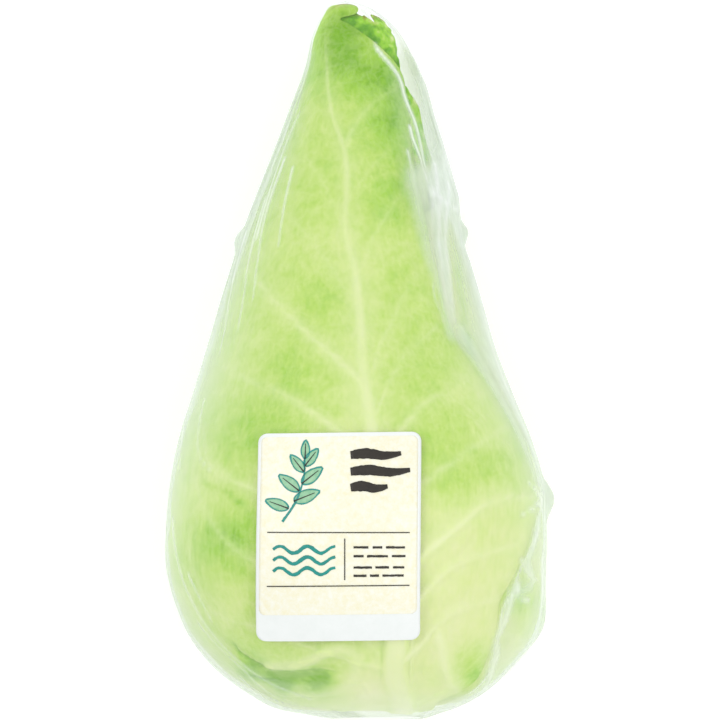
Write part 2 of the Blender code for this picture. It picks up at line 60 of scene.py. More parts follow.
# %% Cross-sections of the head
# y, x of the left side, x of the right side, z of the top, z of the underside, in mm
HEAD_STATIONS = (
    (-124.6, 8, 8, 50, 50),
    (-123, -8, 20, 64, 36),
    (-120, -27.5, 33, 79, 23),
    (-115, -37, 42.5, 91, 12.5),
    (-107, -48.5, 51.5, 101, 5.5),
    (-97, -57.8, 59.6, 108, 1.5),
    (-85, -64, 63.2, 113.5, -0.8),
    (-72, -67.6, 64.2, 116.8, -1.4),
    (-57, -67.4, 64.8, 118, -1.4),
    (-42, -65.4, 64, 116.6, -1.4),
    (-27, -61.8, 59.4, 112.5, -1.4),
    (-12, -56.8, 52.4, 106, -1.4),
    (3, -52.2, 45.8, 98, -1.4),
    (20, -47.1, 40.8, 89, -0.8),
    (38, -41, 36, 79, 1.2),
    (56, -34.8, 29.8, 69, 4.2),
    (74, -28.8, 23.8, 59, 8.2),
    (90, -23.6, 19.1, 50.5, 12),
    (103, -18.6, 14.4, 43.6, 15),
    (113, -16.1, 11.8, 38, 17.4),
    (120, -12.8, 6.8, 33.6, 19.8),
    (123.4, -10.4, 0.8, 30.6, 22.4),
    (124.6, -5, -5, 26.5, 26.5),
)
SQUARENESS = 2.15           # exponent of the cross-section; 2 is a plain ellipse


def curve_through(knots, values, at):
    """Smooth curve through the values, read at one or more places."""
    knots = np.asarray(knots, dtype=float)
    values = np.asarray(values, dtype=float)
    at = np.clip(np.asarray(at, dtype=float), knots[0], knots[-1])
    slopes = np.gradient(values, knots, axis=0)
    low = np.clip(np.searchsorted(knots, at) - 1, 0, len(knots) - 2)
    span = knots[low + 1] - knots[low]
    f = (at - knots[low]) / span
    if values.ndim == 2:
        f = f[..., None]
        span = span[..., None]
    start = (1 + 2 * f) * (1 - f) ** 2 * values[low] + f * (1 - f) ** 2 * span * slopes[low]
    end = f ** 2 * (3 - 2 * f) * values[low + 1] - f ** 2 * (1 - f) * span * slopes[low + 1]
    return start + end


def ease(edge_0, edge_1, value):
    """0 before the first edge, 1 after the second, and a smooth step between."""
    f = np.clip((value - edge_0) / (edge_1 - edge_0), 0.0, 1.0)
    return f * f * (3 - 2 * f)


def travelled_along(*steps):
    """Distance of each point of a line from its start, out of the steps between them."""
    return np.concatenate([[0.0], np.cumsum(np.hypot(*steps))])


def table_at(table, at):
    """Values read from a table of (place, value) rows, straight between the rows."""
    return np.interp(at, *zip(*table))


STATION_RADIUS = [(right - left + top - under) / 4 for _, left, right, top, under in HEAD_STATIONS]
RUN = travelled_along(np.diff([station[0] for station in HEAD_STATIONS]), np.diff(STATION_RADIUS))
RUN_END = RUN[-1]
FINE_RUN = np.linspace(0.0, RUN_END, 1200)
FINE_Y = np.maximum.accumulate(curve_through(RUN, HEAD_STATIONS, FINE_RUN)[:, 0])
print(f"the side of the head is {RUN_END:.0f} mm long from stalk to tip")

# %% [markdown]
# ## From a place on the head to a point in space
#
# `bare_head` turns run and angle into a point, and `outward` gives the direction out of the
# head there. Each layer is then the same outline at another depth, so leaves can never cut
# through each other. Slow waves are shared by all layers, as they are in a real head.

# %% Points on any layer
SWELL = 0.7                 # height of the slow waves, in mm
SWELL_FADE = (40.0, 50.0)   # they fade out this near to the stalk and to the tip
FILM_OUT = 0.6              # how far the film's outside stands off the bare head


def run_at(y):
    """Distance along the side at which the head reaches this y."""
    return np.interp(y, FINE_Y, FINE_RUN)


def section(run):
    """y, centre and half sizes of the cross-section at a distance along the side."""
    y, left, right, top, under = np.moveaxis(curve_through(RUN, HEAD_STATIONS, run), -1, 0)
    return y, (left + right) / 2, (right - left) / 2, (top + under) / 2, (top - under) / 2


def angle_seen(x, y):
    """Angle round the head of a point that is seen from above at x, y."""
    _, mid_x, half_x, _, _ = section(run_at(y))
    share = np.clip((x - mid_x) / half_x, -1.0, 1.0)
    return np.degrees(np.arccos(np.sign(share) * np.abs(share) ** (SQUARENESS / 2)))


def turned(angle):
    """The same angle between -180 and 180."""
    return np.mod(angle + 180.0, 360.0) - 180.0


def degree_at(run):
    """Length of one degree round the head, in mm."""
    _, _, half_x, _, half_z = section(run)
    return (half_x + half_z) / 2 * np.pi / 180.0


def bare_head(run, angle):
    """Points of the smooth outline."""
    y, mid_x, half_x, mid_z, half_z = section(run)
    cosine, sine = np.cos(np.radians(angle)), np.sin(np.radians(angle))
    x = mid_x + half_x * np.sign(cosine) * np.abs(cosine) ** (2 / SQUARENESS)
    z = mid_z + half_z * np.sign(sine) * np.abs(sine) ** (2 / SQUARENESS)
    return np.stack([x, y, z], axis=-1)


def outward(run, angle):
    """Unit vectors that point out of the head."""
    low = np.clip(run - 0.5, 0.2, RUN_END - 1.2)
    along = bare_head(low + 1.0, angle) - bare_head(low, angle)
    round_head = bare_head(low + 0.5, angle + 0.5) - bare_head(low + 0.5, angle - 0.5)
    normal = np.cross(along, round_head)
    return normal / np.linalg.norm(normal, axis=-1, keepdims=True)


def layer(run, angle, depth):
    """Points at a depth under the skin of the head, flattened where it rests."""
    run, angle, depth = np.broadcast_arrays(run, angle, depth)
    turn = np.radians(angle)
    fade = ease(0.0, SWELL_FADE[0], run) * ease(0.0, SWELL_FADE[1], RUN_END - run)
    waves = np.sin(2 * turn + run / 23.0) + 0.6 * np.sin(3 * turn - run / 15.0 + 1.0)
    height = (SWELL * fade * waves - depth)[..., None]
    points = bare_head(run, angle) + outward(run, angle) * height
    points[..., 2] = np.maximum(points[..., 2], np.maximum(depth + FILM_OUT, 0.0))
    return points


print("widest point at y =", round(float(FINE_Y[np.argmax(degree_at(FINE_RUN))])), "mm")

# %% [markdown]
# ## What makes a leaf
#
# A cabbage leaf has a thick midrib, side ribs that climb towards the edge, and a thin blade
# that puffs up between them. A leaf is described by three lines round the head: its midrib,
# its right margin and its left margin. A leaf also knows which leaves lie over it. Under
# them it stays deep, and past their margins it rises to the outside. What lies under a
# pile of leaves is that much deeper, which `depth_under` adds up.

# %% A leaf as three lines
LEAF_START = 0.0            # depth of the outermost leaf's highest ribs, in mm
LEAF_GAP = 1.0              # clear space between one leaf and the next
MARGIN_CLEAR = 2.5          # a leaf stays down this far past the margin of the leaf over it,
MARGIN_RAMP = 16.0          # and then rises to the outside over this distance
LEAF_BASE = 16.5            # distance from the stalk's axis to a leaf's foot
TIP_SQUEEZE = 0.75          # share by which the layers thin out towards the tip,
TIP_REACH = (60.0, 6.0)     # from this far before it to this near to it
SIDE_RIB_BEND = 1.6         # side ribs climb steeply at first; 1 would be straight
TOP_SHARE = 0.9             # share of the leaf's length at which a low side rib stops climbing


def squeeze(run):
    """Thickness of all layers, 1 over most of the head and less at the tip."""
    return 1 - TIP_SQUEEZE * ease(*(RUN_END - reach for reach in TIP_REACH), run)


def seen(points):
    """(x, y) as seen from above, turned into (run, angle)."""
    return [(float(run_at(y)), float(angle_seen(x, y))) for x, y in points]


def behind(points):
    """(y, angle) turned into (run, angle)."""
    return [(float(run_at(y)), angle) for y, angle in points]


def depth_under(over, run, angle):
    """Depth under a pile of leaves."""
    depth = np.full(np.shape(run), LEAF_START)
    for leaf in over:
        pitch = (leaf.rib_height + leaf.thick + LEAF_GAP) * squeeze(run)
        depth = depth + leaf.covers(run, angle) * pitch
    return depth


class Leaf:
    """A leaf's lines round the head, its thickness and the leaves over it."""

    def __init__(self, midrib, right, left, top, sweep, rib_height, thick, lobes=((0, 0),)):
        self.midrib, self.right, self.left = (
            tuple(zip(*sorted(line))) for line in (midrib, right, left))
        self.top, self.sweep = top, sweep
        self.rib_height, self.thick, self.lobes = rib_height, thick, lobes
        self.over = []

    def outline(self, step=2.0):
        """Evenly spaced points of both margins, as run and angle."""
        run = np.linspace(0.0, self.top, 900)
        right = np.stack([run, curve_through(*self.right, run)])
        left = np.stack([run, curve_through(*self.left, run)])
        loop = np.concatenate([right, left[:, ::-1]], axis=1)
        travelled = travelled_along(np.diff(loop[0]), np.diff(loop[1]) * degree_at(loop[0, 1:]))
        even = np.arange(0.0, travelled[-1], step)
        return np.interp(even, travelled, loop[0]), np.interp(even, travelled, loop[1])

    def inside(self, run, angle):
        """Whether a place lies between the leaf's margins and below its top."""
        middle = curve_through(*self.midrib, run)
        away = turned(angle - middle)
        under_left = away < curve_through(*self.left, run) - middle
        over_right = away > curve_through(*self.right, run) - middle
        return under_left & over_right & (run < self.top - table_at(self.lobes, angle))

    def margin_distance(self, run, angle):
        """Distance to the nearest point of either margin, in mm."""
        degree = degree_at(run)
        nearest = np.full(np.shape(run), np.inf)
        for edge_run, edge_angle in zip(*self.outline()):
            aside = turned(angle - edge_angle) * degree
            nearest = np.minimum(nearest, np.hypot(run - edge_run, aside))
        return nearest

    def covers(self, run, angle):
        """1 under the leaf and just past its margin, falling to 0 away from it."""
        outside = self.margin_distance(run, angle)
        cover = 1 - ease(MARGIN_CLEAR, MARGIN_CLEAR + MARGIN_RAMP, outside)
        return np.where(self.inside(run, angle), 1.0, cover)

    def bed(self, run, angle):
        """Depth of the leaf's rib tops: under every leaf over it."""
        return depth_under(self.over, run, angle)

    def place(self, across, along):
        """Run and angle of a spot; across is -1 at the right margin, 1 at the left."""
        sweep = np.where(across < 0, self.sweep[0], self.sweep[1])
        climb = sweep * 4 * along * (1 - along) * (1 - (1 - np.abs(across)) ** SIDE_RIB_BEND)
        length = self.top - LEAF_BASE
        highest = LEAF_BASE + length * (TOP_SHARE + (1 - TOP_SHARE) * along)
        run = np.minimum(LEAF_BASE + along * length + climb, highest)
        middle = curve_through(*self.midrib, run)
        edge = np.where(across < 0, curve_through(*self.right, run), curve_through(*self.left, run))
        return run, middle + (edge - middle) * np.abs(across)


print(f"a leaf lies {LEAF_GAP} mm under the one over it")

# %% [markdown]
# ## The lines of the five loose leaves
#
# The front leaf covers most of what we see, so its midrib and margins follow the real
# head closely. Its right margin runs down from the tip, swings out to a corner at the
# widest place, and comes back to the stalk. Its left margin is out of sight behind the
# head. The others are turned about 137 degrees from each other, as leaves grow.

# %% The leaves' lines
# The front leaf's midrib and right margin, seen from above
FRONT_MIDRIB = (
    (12.8, -123.5), (12.6, -112), (12.2, -97), (9.8, -66), (6.4, -40), (3.8, -22.2), (1.7, -8.3),
    (0.3, 13.2), (-1.7, 32.3), (-5.4, 48.6), (-4.6, 58), (-5.6, 73.3), (-9.4, 85), (-11.4, 98.3),
    (-12.4, 112),
)
FRONT_RIGHT_MARGIN = (
    (19, -123.3), (28, -118.5), (38, -114), (45, -104), (48.6, -92.7), (50.3, -83.3), (55.5, -73),
    (60.8, -59), (63.4, -48), (59, -31), (50.3, -13.9), (42, -1), (36, 4.5), (31.9, 13.9), (28.5, 27.8),
    (25, 41.7), (22.2, 55.5), (20.5, 66), (18.4, 80), (17, 92), (15, 100), (8.5, 107.6), (3.6, 112),
    (-3.6, 117), (-6.4, 119.4), (-2.4, 120.3), (-0.8, 121.4), (-0.6, 122.6),
)
# The left margin is out of sight behind the head: y and angle
FRONT_LEFT_MARGIN = (
    (-123, 130), (-119, 152), (-112, 164), (-102, 171), (-92, 176), (-83, 181), (-73, 189), (-59, 199),
    (-40, 207), (-15, 213), (20, 218), (60, 225), (90, 235), (110, 245), (123, 250),
)
# The tip leaf's lobed top edge: angle, and how far the edge lies below the leaf's top in mm
TIP_LOBES = (
    (0, 4.6), (14, 3.4), (24, 2.4), (32, 1.4), (40, 1.2), (45, 1.8), (50, 4.8), (55, 3.6), (59, 3),
    (63, 1.6), (68, 2), (74, 0.2), (82, 0),
)

leaves = {
    "front_leaf": Leaf(
        midrib=seen(FRONT_MIDRIB) + behind([(123.0, 152.0)]),
        right=seen(FRONT_RIGHT_MARGIN) + behind([(123.4, 50.0)]),
        left=behind(FRONT_LEFT_MARGIN),
        top=RUN_END - 0.8, sweep=(26.0, 40.0), rib_height=1.1, thick=0.9),
    "right_leaf": Leaf(
        midrib=behind([(-123.0, -42.0), (-60.0, -47.0), (57.0, -46.0)]),
        right=behind([(-123.0, -100.0), (-100.0, -128.0), (0.0, -135.0), (30.0, -122.0),
                      (46.0, -92.0), (57.0, -60.0)]),
        left=behind([(-123.0, 18.0), (-118.0, 62.0), (-90.0, 76.0), (-20.0, 74.0), (2.0, 68.0),
                     (14.0, 64.0), (28.0, 60.0), (38.0, 56.0), (46.0, 51.0), (52.0, 40.0),
                     (57.0, -10.0)]),
        top=run_at(57.0), sweep=(20.0, 20.0), rib_height=1.1, thick=0.8),
    "left_leaf": Leaf(
        midrib=behind([(-123.0, 178.0), (-60.0, 176.0), (45.0, 178.0)]),
        right=behind([(-123.0, 74.0), (-116.0, 72.0), (-106.0, 80.0), (-60.0, 96.0),
                      (10.0, 110.0), (34.0, 130.0), (44.0, 168.0)]),
        left=behind([(-123.0, 232.0), (-100.0, 262.0), (0.0, 268.0), (30.0, 250.0),
                     (44.0, 188.0)]),
        top=run_at(44.0), sweep=(20.0, 20.0), rib_height=1.1, thick=0.8),
    "tip_leaf": Leaf(
        midrib=behind([(-123.0, 40.0), (60.0, 46.0), (120.0, 58.0)]),
        right=behind([(-123.0, 8.0), (-100.0, -20.0), (0.0, 10.0), (45.0, 14.0), (58.0, 16.0),
                      (63.0, 15.0), (69.0, 6.0), (74.0, 12.0), (82.0, 12.0), (90.0, 5.0), (96.0, 7.0),
                      (100.0, 12.0), (102.5, 3.0), (105.0, 13.0), (107.5, 2.0), (109.5, 12.0),
                      (112.0, 4.0), (114.5, 14.0), (117.0, 6.0), (119.0, 16.0), (121.0, 12.0)]),
        left=behind([(-123.0, 74.0), (-100.0, 104.0), (0.0, 116.0), (60.0, 126.0),
                     (121.0, 140.0)]),
        top=run_at(121.6), sweep=(16.0, 16.0), rib_height=0.8, thick=0.7, lobes=TIP_LOBES),
    "back_leaf": Leaf(
        midrib=behind([(-123.0, -100.0), (60.0, -98.0), (118.0, -96.0)]),
        right=behind([(-123.0, -140.0), (-100.0, -176.0), (0.0, -184.0), (118.0, -190.0)]),
        left=behind([(-123.0, -60.0), (-100.0, -24.0), (0.0, -20.0), (60.0, -16.0),
                     (118.0, 2.0)]),
        top=RUN_END - 17.0, sweep=(16.0, 16.0), rib_height=0.8, thick=0.7),
}
placed = []
for leaf in leaves.values():
    leaf.over = list(placed)
    placed.append(leaf)
print("leaves from the outside in:", ", ".join(leaves))

# %% [markdown]
# ## Ribs and veins
#
# A vein is a line on the leaf with a width and a height that shrink towards its end. The
# front leaf's main veins are listed one by one, from what one sees on such a head. Between them
# run many small branches. They follow a rule: they leave a side rib on alternate sides at
# about 50 degrees, and a seeded random draw makes each one a little different.

# %% Vein lines of the front leaf
# Each vein: width and height at its start in mm, then its points seen from above
FRONT_VEINS = (
    (3, 1.2, ((13, -106), (21.2, -98.6), (25.7, -93), (31.2, -88.5), (42.4, -84.4), (50, -83))),
    (3.1, 1.2, ((11.5, -92), (22.6, -80.5), (27, -76), (33, -71.2), (38.5, -68.7), (55, -64))),
    (3.6, 1.4, ((10, -80), (22.6, -66.7), (29.9, -60.8), (35.8, -55.9), (42.4, -50), (49, -47.6),
                (56.2, -47.2), (63, -47.8))),
    (2.2, 0.8, ((8.6, -58), (20, -44), (35, -33), (44, -27), (52, -22.2))),
    (2.5, 0.9, ((6.4, -40), (13.9, -24.7), (22.2, -15.3), (29.5, -11.1), (39.2, -3.1))),
    (1.8, 0.7, ((3.8, -22.2), (6.9, -15.3), (10.4, -6.9), (17, 3), (26, 11), (33, 14))),
    (2.8, 0.55, ((3, -12), (6.2, 3.1), (12.5, 16), (16, 23.6), (26, 37))),
    (2.8, 0.5, ((0, 16), (0.7, 32.6), (8, 48.6), (15, 58), (21, 65))),
    (2, 0.3, ((-5, 50), (-1, 60), (5, 68), (13, 76))),
    (2.6, 0.5, ((-5.6, 72), (-3.5, 78.5), (1.4, 86), (6.2, 90.6), (15, 97))),
    (1.6, 0.2, ((-10, 92), (-7, 98), (-3, 103), (3, 108))),
    (2.6, 0.8, ((10.6, -108), (-12, -101), (-36.8, -91.7), (-53.1, -84.7), (-57.3, -74.6), (-60, -60))),
    (2.6, 0.9, ((9, -88), (-15, -79), (-35.8, -69.8), (-43, -65.3), (-47.9, -60.8), (-53.5, -53.1),
                (-58, -40))),
    (2.9, 1, ((8, -62), (-14, -53), (-35.8, -45.1), (-47.9, -39.2), (-52, -37.1), (-53.8, -34),
              (-55.5, -24.3), (-56.9, -13.9))),
    (2.8, 1, ((5.6, -34), (-7.3, -24.7), (-20.1, -15.3), (-28.5, -11.1), (-48.6, -1))),
    (2.7, 1, ((1.5, -9), (-4.5, -2.4), (-17.4, 8.7), (-28.5, 19.4), (-37.8, 30.2), (-41, 36))),
    (2.4, 0.4, ((0, 18), (-9, 31), (-20, 45), (-31, 58))),
    (2.2, 0.3, ((-4.8, 46), (-11, 58), (-19, 71), (-25.5, 78))),
    (1.6, 0.25, ((-6.8, 78), (-13, 86), (-19.5, 93))),
    (2, 0.6, ((2.4, -97.6), (5.5, -100.7), (6.9, -105.5), (6, -112.5))),
    (1, 0.8, ((17.9, -96), (17.7, -109.7), (16.3, -117.7), (14.9, -122.4))),
    (1.8, 0.5, ((-4, -112), (0.5, -112.6), (2.2, -115), (3.4, -118))),
    (4.2, 1.3, ((27.4, -96), (28.6, -101), (29.4, -106.5), (31, -111.5), (33.6, -116))),
)
# The midrib: share of the leaf's length, and width or height in mm
MIDRIB_WIDTH = ((0, 7.4), (0.1, 7), (0.3, 5.6), (0.5, 4), (0.7, 2.6), (1, 1.2))
MIDRIB_HEIGHT = ((0, 1.3), (0.3, 1), (0.7, 0.8), (0.9, 0.5), (0.93, 0.3), (0.955, 0.03), (1, 0))
VEIN_STEP = 3.0             # length of a vein's pieces, in mm
BRANCH_WIDTH, BRANCH_HEIGHT = 0.9, 0.28
BRANCH_LENGTH = (8.0, 17.0)
BRANCH_TURN = (38.0, 58.0)  # degrees by which a branch turns away from its rib
BRANCH_EASE = 0.82          # share of that turn that it keeps at each of its pieces
BRANCH_PIECES = 3


def vein(points, width, height, end_share=0.35):
    """A vein as runs, angles, widths and heights along its length."""
    run, angle = (np.array(line) for line in zip(*points))
    travelled = travelled_along(np.diff(run), np.diff(angle) * degree_at(run[1:]))
    fine = np.linspace(0.0, travelled[-1], max(3, int(travelled[-1] / VEIN_STEP)))
    shrink = 1 - (1 - end_share) * fine / fine[-1]
    return (curve_through(travelled, run, fine), curve_through(travelled, angle, fine),
            width * shrink, height * shrink)


def veins_seen(rows, end_share=0.35):
    """Veins from rows of width, height and points seen from above."""
    return [vein(seen(points), width, height, end_share) for width, height, points in rows]


def midrib_vein(leaf, scale=1.0):
    """The midrib of a leaf, thick at the foot."""
    share = np.linspace(0.0, 1.0, 90)
    run = LEAF_BASE + share * (leaf.top - LEAF_BASE)
    return (run, curve_through(*leaf.midrib, run),
            table_at(MIDRIB_WIDTH, share) * scale, table_at(MIDRIB_HEIGHT, share) * scale)


def side_veins(leaf, pairs, width, height):
    """Side ribs by rule, from the midrib to near each margin."""
    made = []
    for k, along in enumerate(np.linspace(0.06, 0.9, 2 * pairs)):
        side = -1 if k % 2 else 1
        across = side * np.linspace(0.0, 0.95, 9)
        run, angle = leaf.place(across, np.full(9, along))
        made.append(vein(list(zip(run, angle)), width, height))
    return made


def branchlets(veins, rng, spacing=9.0):
    """Small branches that leave each vein on alternate sides."""
    made = []
    for run, angle, width, height in veins:
        degree = degree_at(run)
        travelled = travelled_along(np.diff(run), np.diff(angle) * degree[1:])
        side = 1
        for start in np.arange(spacing * rng.uniform(0.5, 1.0), travelled[-1], spacing):
            k = int(np.searchsorted(travelled, start)) - 1
            heading = math.atan2(run[k + 1] - run[k], (angle[k + 1] - angle[k]) * degree[k])
            step = rng.uniform(*BRANCH_LENGTH) / BRANCH_PIECES
            points = [(run[k], angle[k])]
            bend = side * math.radians(rng.uniform(*BRANCH_TURN))
            for _ in range(BRANCH_PIECES):
                bend *= BRANCH_EASE
                rise, aside = step * math.sin(heading + bend), step * math.cos(heading + bend)
                points.append((points[-1][0] + rise, points[-1][1] + aside / degree[k]))
            made.append(vein(points, BRANCH_WIDTH, BRANCH_HEIGHT, end_share=0.2))
            side = -side
    return made


front = leaves["front_leaf"]
front_main = [midrib_vein(front)] + veins_seen(FRONT_VEINS)
front_small = branchlets(front_main, np.random.default_rng(7))
print(len(front_main), "main veins and", len(front_small), "branches on the front leaf")

# %% [markdown]
# ## Raising the veins
#
# For each point of a leaf's grid we look for the nearest vein. The height of the vein there
# gives the relief, and a wider soft halo gives the pale colour that runs along each rib.
# Far from every vein the blade puffs up a little.

# %% Relief and colour fields
FAR = 40.0                  # distance in mm that counts as far from every vein
REACH = (3.2, 9.0)          # a vein is felt this many widths away, and this many mm more
RIDGE_SHARE = 0.62          # share of its width at which a ridge has fallen to a third
HALO_SHARES = (0.6, 1.7)    # the same for the pale core and for the soft glow round it
GLOW = 0.45                 # strength of the glow
FULL_HALO = 1.1             # height in mm of a vein with a full halo
FLAT_TOPPED = (3.5, 6.0)    # from the first width in mm to the second, veins get a flatter top
NOISE_WAVES = 14


def vein_field(run, angle, veins):
    """Relief in mm, a pale halo from 0 to 1, and the distance to the nearest vein."""
    relief = np.zeros(run.shape)
    halo = np.zeros(run.shape)
    nearest = np.full(run.shape, FAR)
    degree = degree_at(run)
    for line_run, line_angle, width, height in veins:
        reach = REACH[0] * width.max() + REACH[1]
        near = (run > line_run.min() - reach) & (run < line_run.max() + reach)
        middle = line_angle.mean()
        wide = (np.ptp(line_angle) / 2) * degree + reach
        near &= np.abs(turned(angle - middle)) * degree < wide
        if not near.any():
            continue
        r, a, d = run[near], angle[near], degree[near]
        best = np.full(r.shape, 1e6)
        best_width = np.full(r.shape, width[0])
        best_height = np.zeros(r.shape)
        for k in range(len(line_run) - 1):
            x = turned(a - line_angle[k]) * d
            y = r - line_run[k]
            dx = (line_angle[k + 1] - line_angle[k]) * d
            dy = line_run[k + 1] - line_run[k]
            f = np.clip((x * dx + y * dy) / (dx * dx + dy * dy + 1e-9), 0.0, 1.0)
            distance = np.hypot(x - f * dx, y - f * dy)
            closer = distance < best
            best = np.where(closer, distance, best)
            best_width = np.where(closer, width[k] + f * (width[k + 1] - width[k]), best_width)
            best_height = np.where(closer, height[k] + f * (height[k + 1] - height[k]), best_height)
        power = 2 + 2 * ease(*FLAT_TOPPED, best_width)
        ridge = best_height * np.exp(-(best / (RIDGE_SHARE * best_width)) ** power)
        core = np.exp(-(best / (HALO_SHARES[0] * best_width)) ** power)
        round_it = GLOW * np.exp(-(best / (HALO_SHARES[1] * best_width)) ** 2)
        glow = np.clip(best_height / FULL_HALO, 0.0, 1.0) * np.maximum(core, round_it)
        relief[near] = np.maximum(relief[near], ridge)
        halo[near] = np.maximum(halo[near], glow)
        nearest[near] = np.minimum(nearest[near], best)
    return relief, halo, nearest


def soft_noise(points, size, seed):
    """Smooth noise from a few waves in seeded directions; size is its grain in mm."""
    rng = np.random.default_rng(seed)
    total = np.zeros(points.shape[:-1])
    for _ in range(NOISE_WAVES):
        direction = rng.normal(size=3)
        direction /= np.linalg.norm(direction)
        wave = 2 * np.pi / (size * rng.uniform(0.7, 1.6))
        total += np.sin(points @ direction * wave + rng.uniform(0, 2 * np.pi))
    return total / NOISE_WAVES ** 0.5


print("relief is read from", len(front_main) + len(front_small), "vein lines")

# %% [markdown]
# ## Building a leaf blade
#
# The blade is two grids of points, an outer and an inner one, joined by a rim, so that it
# is a closed body with a real thickness. The values that the finish needs later, such as
# the halo of the veins, are stored on the mesh as named attributes.

# %% Mesh helpers


def added(name, data):
    """Object with this data, linked to the scene."""
    made = bpy.data.objects.new(name, data)
    bpy.context.collection.objects.link(made)
    return made


def mesh_object(name, points, faces):
    """Smooth mesh object from points in mm and faces."""
    mesh = bpy.data.meshes.new(name)
    mesh.from_pydata((points * MM).tolist(), [], faces)
    mesh.shade_smooth()
    return added(name, mesh)


def face_inwards(points, quads):
    """Whether the four-sided faces of a closed body point into it."""
    a, b, c, d = (points[quads[:, k]] for k in range(4))
    return np.einsum("ij,ij->i", a + c, np.cross(c - a, d - b)).sum() < 0


def blade_parts(outer, inner):
    """Points and outward faces of two grids that are joined round the edge."""
    rows, columns = outer.shape[:2]
    count = rows * columns
    index = np.arange(count).reshape(rows, columns)
    a, b = index[:-1, :-1].ravel(), index[:-1, 1:].ravel()
    c, d = index[1:, 1:].ravel(), index[1:, :-1].ravel()
    top = np.stack([a, b, c, d], axis=1)
    under = np.stack([d, c, b, a], axis=1) + count
    loop = np.concatenate([index[0], index[1:, -1], index[-1, -2::-1], index[-2:0:-1, 0]])
    after = np.roll(loop, -1)
    rim = np.stack([after, loop, loop + count, after + count], axis=1)
    points = np.concatenate([outer.reshape(-1, 3), inner.reshape(-1, 3)])
    quads = np.concatenate([top, under, rim])
    return points, quads[:, ::-1] if face_inwards(points, quads) else quads


def closed_blade(name, outer, inner):
    """Mesh object from two grids of points in mm."""
    points, quads = blade_parts(outer, inner)
    return mesh_object(name, points, quads.tolist())


def note(made, **fields):
    """Store named numbers on every point of a mesh, the same on both faces of a blade."""
    for name, field in fields.items():
        values = np.resize(np.ravel(field), len(made.data.vertices)).astype(np.float32)
        made.data.attributes.new(name, "FLOAT", "POINT").data.foreach_set("value", values)


print("closed blades are made of two grids and a rim")

# %% [markdown]
# ## From lines to a leaf
#
# One function builds every leaf: a grid over the leaf is raised by its veins, and by soft
# puffs between them, and thins towards the margin. The tip leaf gets more. It comes out
# from under the front leaf, rises, and crinkles, as a leaf does that nothing presses down.

# %% The blade of a leaf
PUFF, PUFF_WIDTH = 0.45, 5.0        # height of the puffs, and the width of their slopes, in mm
UNEVEN, UNEVEN_SIZE = 0.16, 11.0    # height and grain of the slow unevenness, in mm
THIN_RIM, THIN_WIDTH = 0.45, 5.0    # share of the thickness at the margin, and mm to the whole
UNDERSIDE = 0.8             # share of the puffs that shows on the inner face
BRANCH_SHARE, BRANCH_HALO = 0.5, 0.45   # how far the branches count in relief and in halo
ROLL_HIGHLIGHT = 0.7             # share of the pale halo of a roll, a painted highlight along its crest
BRANCH_ROOM = 2.2           # a branch holds the blade down this much less far than a rib
LOBE_REACH = 14.0           # the lobes of the tip leaf draw in the rows this near to its top
DRY_RIMS = {"front_leaf": 4.6, "tip_leaf": 1.7}   # width of the dried brown rim, in mm
DRY_Y = (115.0, 118.0)      # the rim is dry from here up
DRY_PATCH = 1.8             # grain of the dry patches, in mm
FREE_Y = (58.0, 66.0)       # the tip leaf shows beside the front leaf from here up
FREE_WIDTH = (0.2, 2.6)     # it gets free this far outside the front leaf's margin, in mm
FREE_RISE = 0.8             # share of the room over it that it takes up there
CRINKLES = ((0.5, 4.6, 17), (0.34, 2.0, 18))      # height, grain in mm, and seed
CRINKLE_Y = (92.0, 104.0)   # it crinkles from here up
# Painted shade, deeper green beside the front leaf's margin: strength, width in mm, and y from which up
SHADE, SHADE_WIDTH, SHADE_Y = 0.5, 2.8, (88.0, 98.0)
# The tip leaf's right rim leans out like a brim: y, and how far in mm
TIP_FLARE = ((65, 0), (70, 1.6), (76, 2.5), (84, 2.3), (88, 2), (93, 0.8), (97, 0))
FLARE_WIDTH = 5.0
END_CROWD = 0.4             # share by which the rows lie closer at a leaf's ends
MIDRIB_CROWD = 0.28         # the same for the columns at its midrib


def bell(away):
    """1 at 0, falling off smoothly to both sides."""
    return np.exp(-away ** 2)


def free_rise(run, angle):
    """Share of the tip leaf that is free of the front leaf, and how far it rises there."""
    leaf, y = leaves["tip_leaf"], section(run)[0]
    clear_of = ease(*FREE_WIDTH, front.margin_distance(run, angle))
    free = np.where(front.inside(run, angle), 0.0, clear_of) * ease(*FREE_Y, y)
    inwards = np.abs(turned(angle - curve_through(*leaf.right, run))) * degree_at(run)
    flare = table_at(TIP_FLARE, y) * ease(FLARE_WIDTH, 0.0, inwards)
    return free, free * (FREE_RISE * leaf.bed(run, angle) + flare)


def free_crinkles(run, angle, points):
    """How far the tip leaf rises and crinkles where it comes out from under the front leaf."""
    free, rise = free_rise(run, angle)
    crinkle = sum(height * soft_noise(points, size, seed) for height, size, seed in CRINKLES)
    return rise + free * squeeze(run) * crinkle * ease(*CRINKLE_Y, points[..., 1])


def blade_grid(leaf, columns, rows):
    """Run and angle of a grid, closer along the midrib and at both ends, and mm from the top."""
    across = np.linspace(-1.0, 1.0, columns)
    across = across * (1 - MIDRIB_CROWD + MIDRIB_CROWD * np.abs(across))
    along = np.linspace(0.0, 1.0, rows)
    along = along - END_CROWD * np.sin(2 * np.pi * along) / (2 * np.pi)
    from_top = (leaf.top - LEAF_BASE) * (1 - along)
    return *leaf.place(*np.meshgrid(across, along)), from_top[:, None]


